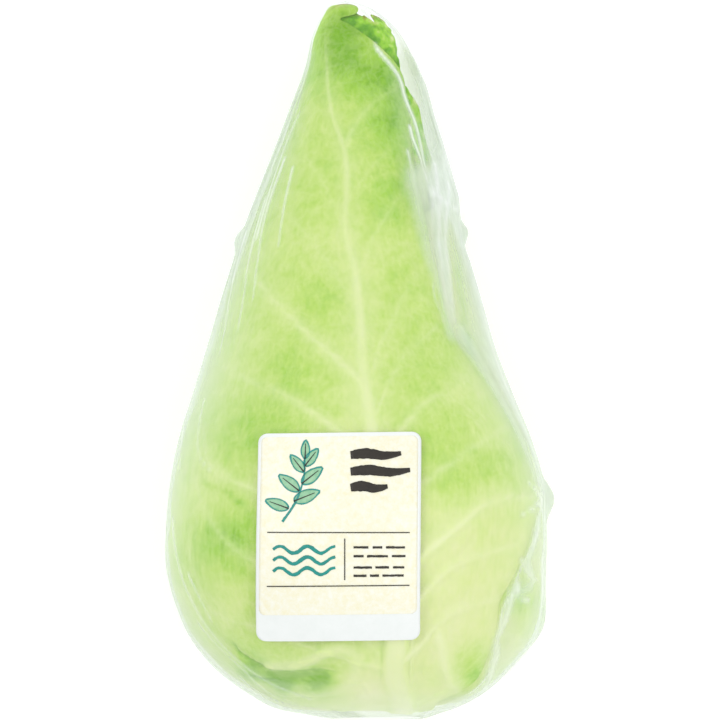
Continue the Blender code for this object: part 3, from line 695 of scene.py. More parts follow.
def leaf_blade(name, main, small, columns, rows, creases=(), rolls=()):
    """A leaf with veins, puffs and margin; returns it, its flat points and its painted shade."""
    leaf = leaves[name]
    run, angle, from_top = blade_grid(leaf, columns, rows)
    run = run - table_at(leaf.lobes, angle) * ease(LOBE_REACH, 0.0, from_top)
    relief, halo, nearest = vein_field(run, angle, main)
    fine_relief, fine_halo, fine_nearest = vein_field(run, angle, small)
    # the creases' halo is painted shade, deeper green along their bottom
    sunk, dark, _ = vein_field(run, angle, creases)
    rolled, roll_highlight, _ = vein_field(run, angle, rolls)
    edge = np.minimum(leaf.margin_distance(run, angle), from_top)
    thin = squeeze(run)
    bed = leaf.bed(run, angle) + leaf.rib_height * thin
    flat = layer(run, angle, bed)
    room = np.minimum(nearest, fine_nearest * BRANCH_ROOM)
    height = relief + BRANCH_SHARE * fine_relief - sunk
    height = height + PUFF * (1 - np.exp(-room / PUFF_WIDTH)) + UNEVEN * soft_noise(flat, UNEVEN_SIZE, 3)
    height = np.minimum(height * thin, leaf.rib_height * thin + 0.1) + rolled
    if name == "tip_leaf":
        height = height + free_crinkles(run, angle, flat)
        # painted shade: the tip leaf is deeper green beside the front leaf's margin
        shaded = bell(front.margin_distance(run, angle) / SHADE_WIDTH)
        dark = SHADE * shaded * ease(*SHADE_Y, flat[..., 1])
    outer = layer(run, angle, bed - height)
    taper = (THIN_RIM + (1 - THIN_RIM) * ease(0.0, THIN_WIDTH, edge)) * thin
    shared = height - np.maximum(relief, 0.0) * thin
    inner = layer(run, angle, bed - UNDERSIDE * shared + leaf.thick * taper)
    made = closed_blade(name + "_blade", outer, inner)
    patchy = ease(-0.5, 0.5, soft_noise(flat, DRY_PATCH, 9))
    dry = bell(from_top / DRY_RIMS.get(name, 1.0)) * ease(*DRY_Y, flat[..., 1]) * patchy
    # halo: the pale ribs, and along the rolls a painted highlight
    halo = np.maximum(np.maximum(halo, BRANCH_HALO * fine_halo), ROLL_HIGHLIGHT * roll_highlight)
    note(made, halo=halo, dry=dry)
    return made, flat, dark


print("the puffs between the veins are", PUFF, "mm high")

# %% [markdown]
# ## The front leaf
#
# This is the leaf that everyone sees. At the lower left it is pushed into a fold: a slot with
# a rounded roll round it, shade painted into the slot and a highlight along the roll. Its
# colour is greenest near the tip and palest at the lower right.

# %% Make the front leaf
# Soft patches of deeper (+) or paler (-) green: x, y, radius, strength
# The three deep patches of radius 5 at y -106 to -111 are painted shade in the slot under the fold
FRONT_PATCHES = (
    (-24, -2, 15, 0.2), (-30, -27, 15, 0.24), (-46, -62, 12, 0.26), (-30, -58, 12, 0.14),
    (-14, -96, 18, 0.16), (-38, -92, 10, 0.14), (-26, -111, 5, 0.44), (-14, -111, 5, 0.44),
    (-37, -106, 5, 0.36), (3, -113, 8, -0.36), (26, -34, 14, 0.24), (46, -37, 10, 0.16),
    (12, 84, 12, 0.24), (8, 52, 10, 0.16), (-16, 52, 12, 0.1), (15, 28, 9, 0.12), (-12, 20, 9, 0.12),
    (-6, 114, 9, 0.22), (34, -84, 22, -0.08), (24, -98, 12, -0.12), (39, -107, 8, 0.42),
    (42, -112, 4, 0.2), (-52, -38, 6, -0.1), (-44, -86, 9, -0.1), (-44, -30, 12, 0.1),
    (30, -60, 12, -0.04), (-30, 40, 12, -0.06), (-8, 104, 10, 0.22), (9, 98, 8, 0.2), (13, 60, 8, 0.14),
    (21, 8, 20, 0.14), (-26, 26, 20, 0.08), (-46, -20, 14, 0.1), (-50, -66, 16, 0.12),
    (-17, 84, 8, -0.12), (16, -12, 12, 0.1),
)
# Thin creases, with shade painted along them: width and depth in mm, then points seen from above
FRONT_CREASES = (
    (0.9, 0.5, ((7.6, -95), (7.6, -104), (7.3, -112))),
    (1, 0.5, ((-55.5, -41.7), (-49.3, -44.1), (-41.7, -49.3), (-38.2, -51))),
    (1.3, 0.9, ((-44, -98.6), (-41.5, -101.6), (-38.2, -103.4), (-33, -106.6), (-27.8, -107.7),
                (-21, -108), (-15, -107.8), (-9, -108.6))),
    (4.6, 0.8, ((-31, -109.8), (-25, -110), (-18, -109.8), (-11.6, -110.2))),
    (1.5, 0.9, ((-36.5, -110.4), (-33, -111.2), (-30.2, -111.6), (-26, -111.3), (-22, -110.4))),
    (1.2, 0.6, ((-41.5, -108.2), (-38.5, -111.2), (-34.5, -114.2))),
    (1.2, 0.5, ((-29, -116.6), (-24, -117.4), (-18.8, -117.4))),
)
# The roll round the fold and the lip over it, with painted highlights: width and height in mm, then points
FRONT_ROLLS = (
    (5, 1.2, ((-31, -106), (-24, -105.6), (-18, -104), (-13, -101.4), (-7.4, -99.8), (-2.2, -101.4),
              (-1.4, -106.4), (-4.2, -112.4), (-8.6, -115.4), (-17, -116.2), (-27, -116.6))),
    (1, 0.9, ((-42, -100.2), (-38.5, -102.4), (-33, -105.2), (-27.8, -106.4), (-21, -106.8),
              (-15, -106.8), (-9, -107.6))),
)
CREASE_PAINTED_SHADE = 0.62         # how much greener the painted shade makes the leaf at the bottom of a crease


def front_tone(points):
    """How green the front leaf is, from 0, pale, to 1, deep green."""
    x, y = points[..., 0], points[..., 1]
    tone = 0.44 + 0.24 * ease(20.0, 110.0, y) - 0.14 * ease(12.0, 34.0, x) * ease(-30.0, -70.0, y)
    for at_x, at_y, radius, strength in FRONT_PATCHES:
        tone = tone + strength * bell(np.hypot(x - at_x, y - at_y) / radius)
    return tone


# The creases' painted shade is added to the front leaf's green
front_blade, front_points, front_painted_shade = leaf_blade(
    "front_leaf", front_main, front_small, 181, 231,
    veins_seen(FRONT_CREASES, 0.6), veins_seen(FRONT_ROLLS, 0.7))
note(front_blade, tone=front_tone(front_points) + CREASE_PAINTED_SHADE * front_painted_shade)
print("front leaf:", len(front_blade.data.polygons), "faces")

# %% [markdown]
# ## The other loose leaves
#
# These leaves show beside the front leaf, through the film from the sides and from behind.
# Their veins follow a rule: pairs of side ribs from the midrib to the margin, with small
# branches between them.

# %% Make the other leaves
# How green each leaf is, and the columns and rows of its grid
OTHER_LEAVES = {
    "right_leaf": (0.34, 141, 131), "left_leaf": (0.45, 121, 121),
    "tip_leaf": (0.60, 121, 221), "back_leaf": (0.40, 111, 161),
}
SIDE_RIB_PAIRS, SIDE_RIB = 7, (2.2, 0.8)    # width and height of a side rib, in mm
# A greener strip of the right leaf, seen beside the hollow: y and x
GREEN_STRIP = ((-10, 41.6), (0, 38.8), (10, 36.4), (20, 35), (35, 33.4))
STRIP_WIDTH = 1.7
GREEN_SPOT, SPOT_RADIUS = (57.0, -83.0), 6.0    # a green spot of the right leaf


def other_tone(name, points):
    """How green one of the other leaves is, with soft patches."""
    x, y = points[..., 0], points[..., 1]
    tone = OTHER_LEAVES[name][0] + 0.10 * soft_noise(points, 30.0, 11)
    if name == "tip_leaf":
        # the drop below y 74 is painted light, lifting the shade of the hollow beside the front leaf's
        # margin
        tone = tone - 0.16 * ease(102.0, 88.0, y) - 0.44 * ease(74.0, 60.0, y)
        tone = tone + 0.20 * soft_noise(points, 3.4, 12) + 0.12 * soft_noise(points, 1.6, 13)
    if name == "right_leaf":
        strip = bell((x - table_at(GREEN_STRIP, y)) / STRIP_WIDTH)
        spot = bell(np.hypot(x - GREEN_SPOT[0], y - GREEN_SPOT[1]) / SPOT_RADIUS)
        tone = tone - 0.14 * ease(-30.0, 10.0, y)
        tone = tone + 0.4 * strip * ease(-4.0, 4.0, y) * ease(40.0, 30.0, y) + 0.3 * spot
    return tone


blades = {"front_leaf": front_blade}
for name, (_, columns, rows) in OTHER_LEAVES.items():
    main = [midrib_vein(leaves[name], 0.7)] + side_veins(leaves[name], SIDE_RIB_PAIRS, *SIDE_RIB)
    small = branchlets(main, np.random.default_rng(len(name)), spacing=11.0)
    made, points, dark = leaf_blade(name, main, small, columns, rows)
    # for the tip leaf, dark holds painted shade beside the front leaf's margin
    note(made, tone=other_tone(name, points) + dark)
    blades[name] = made
    print(name + ":", len(made.data.polygons), "faces")

# %% [markdown]
# ## The heart and the stalk
#
# Inside the loose leaves the head is solid: leaf on leaf, so tight that only their edges
# show. The heart is one closed body with those edges raised on it. The stalk is cut flat,
# with a rounded rim and a slightly lobed outline.

# %% Make the heart and the stalk
HEART_LEAST_DEPTH = 3.4
HEART_TIP_Y = 92.0
HEART_POINT = 9.0           # the heart ends in a point this far past its last ring, in mm
HEART_RUN = (6.0, 40.0)     # the heart starts at the first run, and its edges are full at the second
LEAF_EDGE = 1.4             # height of the raised leaf edges on the heart, in mm
EDGE_COUNT, EDGE_PITCH = 3, 170.0   # edges round the heart, and how steeply they wind round it
STALK_RADIUS = 11.0
STALK_Y = (-122.0, -112.5)
CUT_DISH = 0.3              # depth of the cut face at its middle
STALK_LOBES = ((0.035, 3, 0.4), (0.02, 5, 0.0))     # share of the radius, count and phase
# Rounded rim of the stalk: distance in from the cut end in mm, and share of the radius
STALK_PROFILE = ((0.25, 0.25), (0.1, 0.5), (0, 0.7), (0.15, 0.86), (0.7, 0.96), (2, 1), (9, 1))


def tube(rings, sides):
    """Indices of a tube's points, of the next points round it, and its four-sided faces."""
    index = np.arange(rings * sides).reshape(rings, sides)
    after = np.roll(index, -1, axis=1)
    return index, after, np.stack([index[:-1], after[:-1], after[1:], index[1:]], axis=-1).reshape(-1, 4)


def closed_rings(name, rings, first_pole, last_pole):
    """Closed body from rings of points with a point at each end."""
    index, after, quads = tube(*rings.shape[:2])
    points = np.concatenate([rings.reshape(-1, 3), [first_pole], [last_pole]])
    first, last = index.size, index.size + 1
    faces = quads.tolist()
    faces += [(j, i, first) for i, j in zip(index[0].tolist(), after[0].tolist())]
    faces += [(i, j, last) for i, j in zip(index[-1].tolist(), after[-1].tolist())]
    if face_inwards(points, quads):
        faces = [face[::-1] for face in faces]
    return mesh_object(name, points, faces)


def make_heart(sides=150, rings=150):
    """The dense inner leaves."""
    run, angle = np.meshgrid(np.linspace(HEART_RUN[0], run_at(HEART_TIP_Y), rings),
                             np.linspace(0.0, 360.0, sides, endpoint=False), indexing="ij")
    turns = (angle / 360.0 * EDGE_COUNT + run / EDGE_PITCH) % 1.0
    edges = LEAF_EDGE * turns * ease(*HEART_RUN, run)
    depth = np.maximum(depth_under(leaves.values(), run, angle), HEART_LEAST_DEPTH) + edges
    shell = layer(run, angle, depth)
    foot = bare_head(np.array(0.0), np.array(0.0)) + (0.0, depth[0].max(), 0.0)
    x, _, z = shell[-1].mean(axis=0)
    made = closed_rings("heart_leaves", shell, foot, (x, HEART_TIP_Y + HEART_POINT, z))
    points = np.array([v.co[:] for v in made.data.vertices]) / MM
    note(made, tone=0.12 + 0.08 * soft_noise(points, 25.0, 5))
    return made


def make_stalk(sides=96):
    """Cut end of the stalk, slightly lobed, with a rounded rim."""
    x, _, z = bare_head(np.array(0.0), np.array(0.0))
    turn = np.linspace(0.0, 2 * np.pi, sides, endpoint=False)
    lobes = 1 + sum(size * np.sin(many * turn + phase) for size, many, phase in STALK_LOBES)
    across, up = STALK_RADIUS * lobes * np.cos(turn), STALK_RADIUS * lobes * np.sin(turn)
    rings = [np.stack([x + share * across, np.full(sides, STALK_Y[0] + inward), z + share * up], axis=-1)
             for inward, share in STALK_PROFILE]
    return closed_rings("stalk_cut", np.array(rings), (x, STALK_Y[0] + CUT_DISH, z), (x, STALK_Y[1], z))


heart = make_heart()
stalk = make_stalk()
print("heart:", len(heart.data.polygons), "faces; stalk:", len(stalk.data.polygons), "faces")

# %% [markdown]
# ## The film wrap
#
# The film is stretched from leaf to leaf. It lies close over the front leaf, spans the
# hollow beside the tip, and gathers in fine lengthwise folds where it is pulled in. It
# looks milky where it stands off the leaf or is folded, because light scatters in it on
# the way in and out, and it is clear where it clings to the leaf. So four fields are stored
# on the mesh for the finish: the gap under the film, the milkiness of its folds, how loose
# it lies, and the ridges of its narrow folds.

# %% Make the film
FILM_THICK = 0.15
FILM_START = LEAF_BASE - 1.0    # run at the hem, round the stalk
FILM_HEM, HEM_LENGTH = 1.0, 10.0    # the hem stands off this much more, over this run
EMPTY_DEPTH = 5.5           # room under the film where no leaf lies beneath it
# Bumps of the film: y, angle, height and radius in mm
BUMPS = (
    (-48, 2, 3, 9), (-91, 2, 1.4, 12), (43.5, 0, 2.2, 5.5), (41, 178, 1.9, 6),
)
# How far the film stands off at its right and left side: y and distance
FILM_SPAN_RIGHT = (
    (40, 0), (46, 1.6), (55, 4.6), (66, 5.4), (75, 5.6), (85, 5), (94, 5.2), (103, 4.4), (111, 2),
    (119, 0.1), (124, 0),
)
FILM_SPAN_LEFT = (
    (-60, 0), (-20, 0.2), (20, 0.5), (50, 0.9), (75, 0.5), (90, 0.1), (122, 0),
)
SPAN_FADE = ((25.0, 75.0), (10.0, 70.0))    # degrees from each side over which that ends
# Milky folds: width in mm and strength, then points seen from above
FILM_FOLDS = (
    (11, 0.75, ((25, 66), (25.2, 58), (26.4, 48), (27.6, 38), (28.6, 28))),
    (10, 0.52, ((19.4, 61), (20.8, 55), (23.2, 45), (25.6, 36), (28, 28), (30, 20), (31.6, 12))),
    (7.6, 0.75, ((27.8, 40), (28.8, 30), (30, 20), (31.4, 9))),
    (1.6, 0.6, ((22.2, 66), (23.4, 60), (24.6, 52), (27, 44))),
    (1, 0.95, ((5, 108.6), (8.4, 102.6), (11.4, 96.6), (13.1, 90.4), (16.1, 81.7), (18.2, 72.5),
               (20.7, 60))),
    (0.9, 0.9, ((15.1, 79.5), (16.1, 74.9), (18, 69.7), (19.7, 63.4))),
    (0.9, 0.5, ((15, 71), (16.4, 65), (18, 58), (19.6, 50))),
    (1.2, 0.5, ((22.6, 58), (24.2, 44), (26, 30), (29.4, 16))),
    (1.2, 0.5, ((25, 54), (27, 40), (28.8, 26), (31, 14))),
    (1.2, 0.5, ((27.6, 50), (29.4, 38), (31, 26), (32.4, 12))),
    (1.2, 0.4, ((24.7, 38), (26, 30), (25.4, 23), (27.8, 16.7), (29.9, 8.7))),
    (7, 0.45, ((34.6, 8), (38.6, 2), (43.6, -6), (51.6, -20), (58, -34), (61.4, -46))),
    (3.6, 0.5, ((54.6, -78), (52.7, -82), (50.9, -89.1), (47.6, -96.4), (46.4, -104.6), (42.4, -114))),
    (4.4, 0.6, ((61.5, -56), (59.6, -64), (57.9, -70.4), (60, -76.4), (54.3, -81))),
    (1.6, 0.6, ((22.2, 56.9), (24.7, 54.5), (27.8, 52.4), (31.2, 50.7))),
    (1.8, 0.5, ((26.7, 59), (27.1, 54.5), (28.1, 49.3))),
    (5, 0.5, ((-41.7, 36.5), (-37.5, 46.9), (-31.9, 59), (-26.7, 71.2), (-22.2, 83.3))),
    (1.2, 0.8, ((-34, 41.7), (-30.6, 55.6), (-27.4, 67.7), (-23.6, 79.9), (-20.8, 86.1))),
    (1.2, 0.75, ((-25.7, 69.4), (-28.8, 59), (-31.9, 46.9), (-34, 34), (-36.1, 20.8))),
    (1.2, 0.7, ((-31.2, 55.6), (-34, 45.1), (-36.8, 34), (-39.2, 20.8), (-41.7, 8.7))),
    (1.2, 0.7, ((-37.5, 43.4), (-40.3, 34), (-43.1, 23.6), (-45.5, 12.2), (-47.9, 2.8))),
    (1.2, 0.6, ((-22.9, 66), (-25, 55.6), (-26.4, 46.9), (-27.4, 38.9))),
    (2.4, 0.45, ((-44.4, 34), (-48.6, 20.8), (-53.1, 5.2), (-56.9, -8.7), (-60.1, -22.6),
                 (-62.1, -38.2))),
    (1.6, 0.35, ((-53.8, -13.9), (-55.9, -24.3), (-55.2, -34), (-51.4, -38.2))),
    (2.2, 0.4, ((-64.6, -55.6), (-62.5, -69.4), (-59, -79.9), (-54.5, -88.5), (-47.9, -97.2),
                (-39.9, -104.9), (-29.5, -112.1), (-17.4, -117.4))),
    (1.2, 0.5, ((-58.3, -74.6), (-55.5, -80), (-52.5, -86), (-49.8, -91))),
    (1.1, 0.45, ((-55.6, -90.3), (-47.9, -99), (-39.6, -106.9), (-31.2, -114.6), (-20.8, -119.1))),
    (1.1, 0.4, ((-41.7, -108.3), (-34, -114.6), (-24.3, -118.7), (-14.6, -120.8))),
    (2.2, 0.5, ((62.8, -48.6), (60.1, -44.8), (56.9, -42))),
    (2.2, 0.5, ((62.8, -48.6), (59, -51.4), (55.2, -53.5))),
    (2.2, 0.5, ((62.8, -48.6), (61.5, -54.5), (59, -59.7))),
    (1.5, 0.6, ((61.5, -59), (58, -66.7), (53.8, -76.4), (50.7, -83.3))),
    (1.3, 0.6, ((55.2, -79.2), (51.4, -82.6), (49.6, -86.8), (48.6, -93), (47.6, -99), (45.1, -104.9))),
    (2.2, 0.45, ((58.3, -83.3), (54.5, -81.6), (51.4, -79.9))),
    (2.2, 0.45, ((55.6, -69.4), (58, -73.6), (61.1, -76.4))),
    (3.5, 0.5, ((62.8, -69.4), (62.5, -83.3), (60.4, -93.7), (55.6, -102.4), (48.6, -109.4),
                (41.7, -114.6))),
    (1.3, 0.5, ((47.6, -97.2), (46.5, -105.9), (42.4, -111.1), (38.2, -114.6))),
    (2.4, 0.45, ((33, -119.4), (24.3, -120.8), (15.6, -123.6), (6.9, -123.6), (-3.5, -122.9))),
    (1.6, 0.35, ((-22.2, 86.8), (-20.8, 92), (-18.1, 100))),
)
# Where the film clings to the leaf: width in mm, then points seen from above
FILM_CLINGS = (
    (9, ((-8, 121), (2, 118), (9, 111), (14, 101))),
    (5.4, ((10, 104), (13.6, 95.7), (17.4, 85.3), (20.2, 77), (22.8, 69))),
    (6, ((-40, -102.4), (-32, -106.8), (-22, -109.4), (-8, -109.4))),
    (8, ((36, -103), (38, -108), (38.4, -112))),
)
CLING_Y = (104.0, 116.0)    # from here up it clings everywhere
CLING_GAP = (8.6, 5.6)      # a wide gap keeps it from clinging, and a narrow one lets it
CLEAR_GAP, CLEAR_MILK, CLEAR_LOOSE = 0.85, 0.9, 0.7     # shares that clinging film loses of each
NARROW = 4.0                # folds under this width in mm stand up as ridges
RIDGE_HEIGHT = 0.25
# Fine folds: waves of so many radians to a degree, their sway and its length in mm, and share
FINE_FOLDS, FINE_FOLD_HEIGHT = ((1.9, 1.5, 37.0, 1.0), (3.7, 2.0, 29.0, 0.6)), 0.10
# Milkiness of the gathered sides: y, then strength on the right and on the left
FILM_SIDES = (
    (-122, 0.26, 0.26), (-90, 0.22, 0.2), (-60, 0.14, 0.12), (-20, 0.5, 0.3), (10, 0.75, 0.4),
    (40, 0.8, 0.5), (60, 0.35, 0.55), (85, 0.15, 0.4), (105, 0, 0.1), (124, 0, 0),
)
# Angle of the middle of each side's milk, and degrees over which it falls away
SIDE_MILK = ((4.0, 24.0), (174.0, 30.0))
# The fields at the film's closed end, at the tip
TIP_FIELDS = {"gap": 1.0, "milky": 0.0, "loose": 0.3, "ridge": 0.0}


def side_milk(run, angle):
    """Milkiness where the film is gathered at the two sides."""
    y, *strengths = zip(*FILM_SIDES)
    here = section(run)[0]
    return sum(np.interp(here, y, strength) * bell(np.abs(turned(angle - middle)) / spread)
               for strength, (middle, spread) in zip(strengths, SIDE_MILK))


def loose_folds(count=46, seed=4):
    """Lengthwise folds on the sides and the back, drawn at random."""
    rng = np.random.default_rng(seed)
    made = []
    for _ in range(count):
        turn = rng.uniform(160.0, 385.0)
        start = rng.uniform(60.0, RUN_END - 60.0)
        reach = min(rng.uniform(40.0, 130.0), RUN_END - 8.0 - start)
        points = [(start + reach * f, turn + rng.normal(0.0, 1.6)) for f in np.linspace(0.0, 1.0, 5)]
        made.append(vein(points, rng.uniform(1.2, 2.6), rng.uniform(0.15, 0.42), 0.4))
    return made


def film_span(run, angle):
    """How far the film stands off the bare head."""
    y = section(run)[0]
    from_right = np.abs(turned(angle))
    right = table_at(FILM_SPAN_RIGHT, y) * (1 - ease(*SPAN_FADE[0], from_right))
    left = table_at(FILM_SPAN_LEFT, y) * (1 - ease(*SPAN_FADE[1], 180.0 - from_right))
    hem = FILM_HEM * (1 - ease(FILM_START, FILM_START + HEM_LENGTH, run))
    span = FILM_OUT + right + left + hem
    for bump_y, bump_angle, height, radius in BUMPS:
        aside = turned(angle - bump_angle) * degree_at(run)
        span = span + height * (1 - ease(0.0, radius, np.hypot(aside, run - run_at(bump_y))))
    return span


def film_creases(run, angle):
    """Height in mm of the fine lengthwise folds of the film."""
    y, turn = section(run)[0], turned(angle)
    left = ease(112.0, 150.0, turn) * (1 - ease(168.0, 180.0, turn)) * ease(-20.0, 30.0, y)
    right = ease(70.0, 45.0, turn) * ease(-5.0, 15.0, turn) * ease(0.0, 30.0, y)
    where = left * ease(118.0, 90.0, y) + right * ease(105.0, 80.0, y)
    folds = sum(share * np.sin(turn * pace + sway * np.sin(run / length))
                for pace, sway, length, share in FINE_FOLDS)
    return FINE_FOLD_HEIGHT * where * folds


def top_leaf_depth(run, angle):
    """Depth of whatever the film lies over, the heart where there is no leaf."""
    depth = np.where(section(run)[0] > HEART_TIP_Y, EMPTY_DEPTH, HEART_LEAST_DEPTH)
    for name, leaf in reversed(leaves.items()):
        rest = leaf.bed(run, angle) + leaf.rib_height * squeeze(run)
        if name == "tip_leaf":
            rest = rest - free_rise(run, angle)[1]
        depth = np.where(leaf.inside(run, angle), rest, depth)
    return depth


def film_fields(run, angle):
    """How far the film stands off, and the fields that its finish reads."""
    folds = veins_seen(FILM_FOLDS, 0.6) + loose_folds()
    milky, _, _ = vein_field(run, angle, folds)
    milky = np.hypot(milky, side_milk(run, angle))
    ridge, _, _ = vein_field(run, angle, [fold for fold in folds if fold[2].max() < NARROW])
    span = film_span(run, angle) + film_creases(run, angle) + RIDGE_HEIGHT * ridge
    gap = span + top_leaf_depth(run, angle)
    for _ in range(4):
        gap = (gap + np.roll(gap, 1, 1) + np.roll(gap, -1, 1)) / 3
        gap[1:-1] = (gap[:-2] + gap[1:-1] + gap[2:]) / 3
    clings = veins_seen([(width, 1.0, points) for width, points in FILM_CLINGS], 1.0)
    cling, _, _ = vein_field(run, angle, clings)
    clear = np.maximum(cling, ease(*CLING_Y, section(run)[0])) * ease(*CLING_GAP, gap)
    return span, {"gap": gap * (1 - CLEAR_GAP * clear), "loose": 1 - CLEAR_LOOSE * clear,
                  "milky": np.maximum(milky * (1 - CLEAR_MILK * clear), ridge), "ridge": ridge}


def make_film(seen_sides=215, hidden_sides=75, rings=164):
    """The wrap as a thin closed shell, open round the stalk's cut end."""
    angles = np.concatenate([np.linspace(-20.0, 200.0, seen_sides, endpoint=False),
                             np.linspace(200.0, 340.0, hidden_sides, endpoint=False)])
    run, angle = np.meshgrid(np.linspace(FILM_START, RUN_END - 1.0, rings), angles, indexing="ij")
    span, fields = film_fields(run, angle)
    outer, inner = layer(run, angle, -span), layer(run, angle, FILM_THICK - span)
    tip = bare_head(np.array(RUN_END), np.array(0.0))
    tips = [tip + (0.0, FILM_OUT, 0.0), tip + (0.0, FILM_OUT - FILM_THICK, 0.0)]
    points = np.concatenate([outer.reshape(-1, 3), inner.reshape(-1, 3), tips])
    index, after, skin = tube(*run.shape)
    count = index.size
    hem = np.stack([after[0], index[0], index[0] + count, after[0] + count], axis=1)
    last = list(zip(index[-1].tolist(), after[-1].tolist()))
    faces = np.concatenate([skin, skin[:, ::-1] + count, hem]).tolist()
    faces += [(i, j, 2 * count) for i, j in last]
    faces += [(j + count, i + count, 2 * count + 1) for i, j in last]
    made = mesh_object("film", points, faces)
    note(made, **{name: np.concatenate([field.ravel(), field.ravel(), [TIP_FIELDS[name]] * 2])
                  for name, field in fields.items()})
    made.visible_shadow = False     # clear film hardly dims what lies under it
    return made


film = make_film()
print("film:", len(film.data.polygons), "faces")

# %% [markdown]
# ## The label
#
# A paper label is stuck on the film. It bends with the head, so every part of it is placed
# on the film's surface. The cream ground is printed on white stock, which leaves a white
# border and a white strip at the foot.

# %% Label stock and ground
LABEL_CENTRE = (-7.2, -60.8)
LABEL_SEEN = (55.5, 70.6)   # width and length seen from above, in mm
LABEL_CORNER = 3.2
LABEL_LIFT = 0.35
LABEL_THICK = 0.3
LABEL_TOP = LABEL_LIFT + LABEL_THICK
GROUND = (53.4, 60.3)       # width and length of the printed ground
GROUND_CORNER = 2.0
GROUND_BORDER = 1.3         # white border over the ground's upper edge
INK_STEP = 0.05             # each printed layer lies this much higher
INK_CLEAR = 0.01            # and this much clear of the one below
CORNER_ROWS = 7             # rows of points in each rounded end of a sheet


def on_label(places, lift):
    """Points on the label: places are mm from its centre, lift is mm above the film."""
    x, y = LABEL_CENTRE[0] + places[..., 0], LABEL_CENTRE[1] + places[..., 1]
    run, angle = run_at(y), angle_seen(x, y)
    return layer(run, angle, -(film_span(run, angle) + lift))


def rounded_sheet(name, size, corner, centre_v, low, high, columns=60, rows=72):
    """Sheet with rounded corners between two heights above the film."""
    width, length = size
    ends = corner * np.linspace(0.0, 1.0, CORNER_ROWS) ** 2
    middle = np.linspace(corner, length - corner, rows - 2 * CORNER_ROWS + 2)[1:-1]
    from_end = np.concatenate([ends, middle, length - ends[::-1]])
    into = corner - np.minimum(np.minimum(from_end, length - from_end), corner)
    half = width / 2 - corner + np.sqrt(corner ** 2 - into ** 2)
    u = half[:, None] * np.linspace(-1.0, 1.0, columns)[None, :]
    v = np.broadcast_to((centre_v - length / 2 + from_end)[:, None], u.shape)
    places = np.stack([u, v], axis=-1)
    return closed_blade(name, on_label(places, high), on_label(places, low))


stock = rounded_sheet("label_stock", LABEL_SEEN, LABEL_CORNER, 0.0, LABEL_LIFT, LABEL_TOP)
ground_v = (LABEL_SEEN[1] - GROUND[1]) / 2 - GROUND_BORDER
ground = rounded_sheet("label_ground", GROUND, GROUND_CORNER, ground_v, LABEL_TOP + INK_CLEAR,
                       LABEL_TOP + INK_STEP)
print("label stock and ground:", len(stock.data.polygons) + len(ground.data.polygons), "faces")

# %% [markdown]
# ## The printed design
#
# Ink is made here as very thin raised shapes, so that it has a crisp edge at any distance.
# A stroke follows a path with a width that wavers, as a brush does. The design is plain: a
# sprig, brush bars, waves, rules and dashes. A sprig leaf is a filled shape with a stroke
# round it. Places are mm from the label's centre.

# %% Strokes and sprig leaves
STROKE_STEP = 0.7           # length of a stroke's pieces, in mm
OUTLINE = (0.55, 0.35, 0.6, 0.35, 0.55)     # widths along a sprig leaf's outline
SPRIG_STEM = ((-19, 5), (-14.5, 12), (-12, 19.5), (-11.5, 27.5))
# Sprig leaves: place of the foot, heading in degrees, and length in mm
SPRIG_LEAVES = (
    (-17, 9.5, 160, 8.5), (-15.2, 12, 22, 9.5), (-13.4, 15.5, 142, 9), (-12.6, 18, 38, 9),
    (-11.9, 22, 128, 7.5), (-11.6, 24, 52, 7.5), (-11.5, 26.5, 88, 6.5),
)
SPRIG_LEAF_WIDTH = 0.46     # share of its length
BARS = ((27.6, 17.0), (22.0, 20.0), (16.6, 12.5))   # height on the label, and length
BAR_WIDTHS = (2.6, 3.6, 3.2, 2.6, 1.4)
BAR_START = 4.0
RULES = (((-24, 1.4), (24, 1.4)), ((-24, -16.6), (24, -16.6)), ((2, -0.6), (2, -14.6)))
# Dashes: height on the label, then start and length of each
DASHES = (
    (-3.6, ((5, 5), (11.5, 3.2), (16, 6.4))), (-6.6, ((5, 3.4), (9.6, 7), (18, 4.6))),
    (-10.4, ((5, 6.2), (12.4, 4.6), (18.4, 3.8))), (-13.2, ((5, 4.4), (10.6, 3), (14.8, 7.2))),
)
WAVES = (-4.4, -8.0, -11.6)     # height of each on the label
WAVE_START, WAVE_STEP, WAVE_POINTS = -22.0, 1.6, 14
WAVE_RISE, WAVE_TURN = 1.2, 1.1     # height, and radians from one point to the next
ink_rng = np.random.default_rng(21)


def ribbon(path, widths, rough=0.0):
    """Grid of label places for a stroke along a path; rough lets its width waver."""
    path = np.asarray(path, dtype=float)
    travelled = travelled_along(*np.diff(path, axis=0).T)
    fine = np.linspace(0.0, travelled[-1], max(4, int(travelled[-1] / STROKE_STEP)))
    centre = curve_through(travelled, path, fine)
    width = np.interp(fine, np.linspace(0.0, fine[-1], len(widths)), widths) / 2
    heading = np.gradient(centre, axis=0)
    side = np.stack([-heading[:, 1], heading[:, 0]], axis=1)
    side /= np.linalg.norm(side, axis=1, keepdims=True)
    wobble = 1 + rough * ink_rng.normal(size=(2, len(fine)))
    across = np.linspace(-1.0, 1.0, 5)
    share = np.where(across[None, :] < 0, wobble[0][:, None], wobble[1][:, None])
    return centre[:, None, :] + side[:, None, :] * (width[:, None] * share * across)[..., None]


def sprig_leaf(base, heading, length):
    """Filled leaf shape with a pointed end, and the end of its vein."""
    s = np.linspace(0.02, 0.98, 14)
    across = np.linspace(-1.0, 1.0, 7)
    half = SPRIG_LEAF_WIDTH * length / 2 * np.sin(np.pi * s ** 0.8) ** 0.8
    ahead = np.array([math.cos(heading), math.sin(heading)])
    aside = np.array([-ahead[1], ahead[0]])
    middle = np.asarray(base) + np.outer(s * length, ahead)
    shape = middle[:, None, :] + (half[:, None] * across)[..., None] * aside
    return shape, base + 0.8 * length * ahead


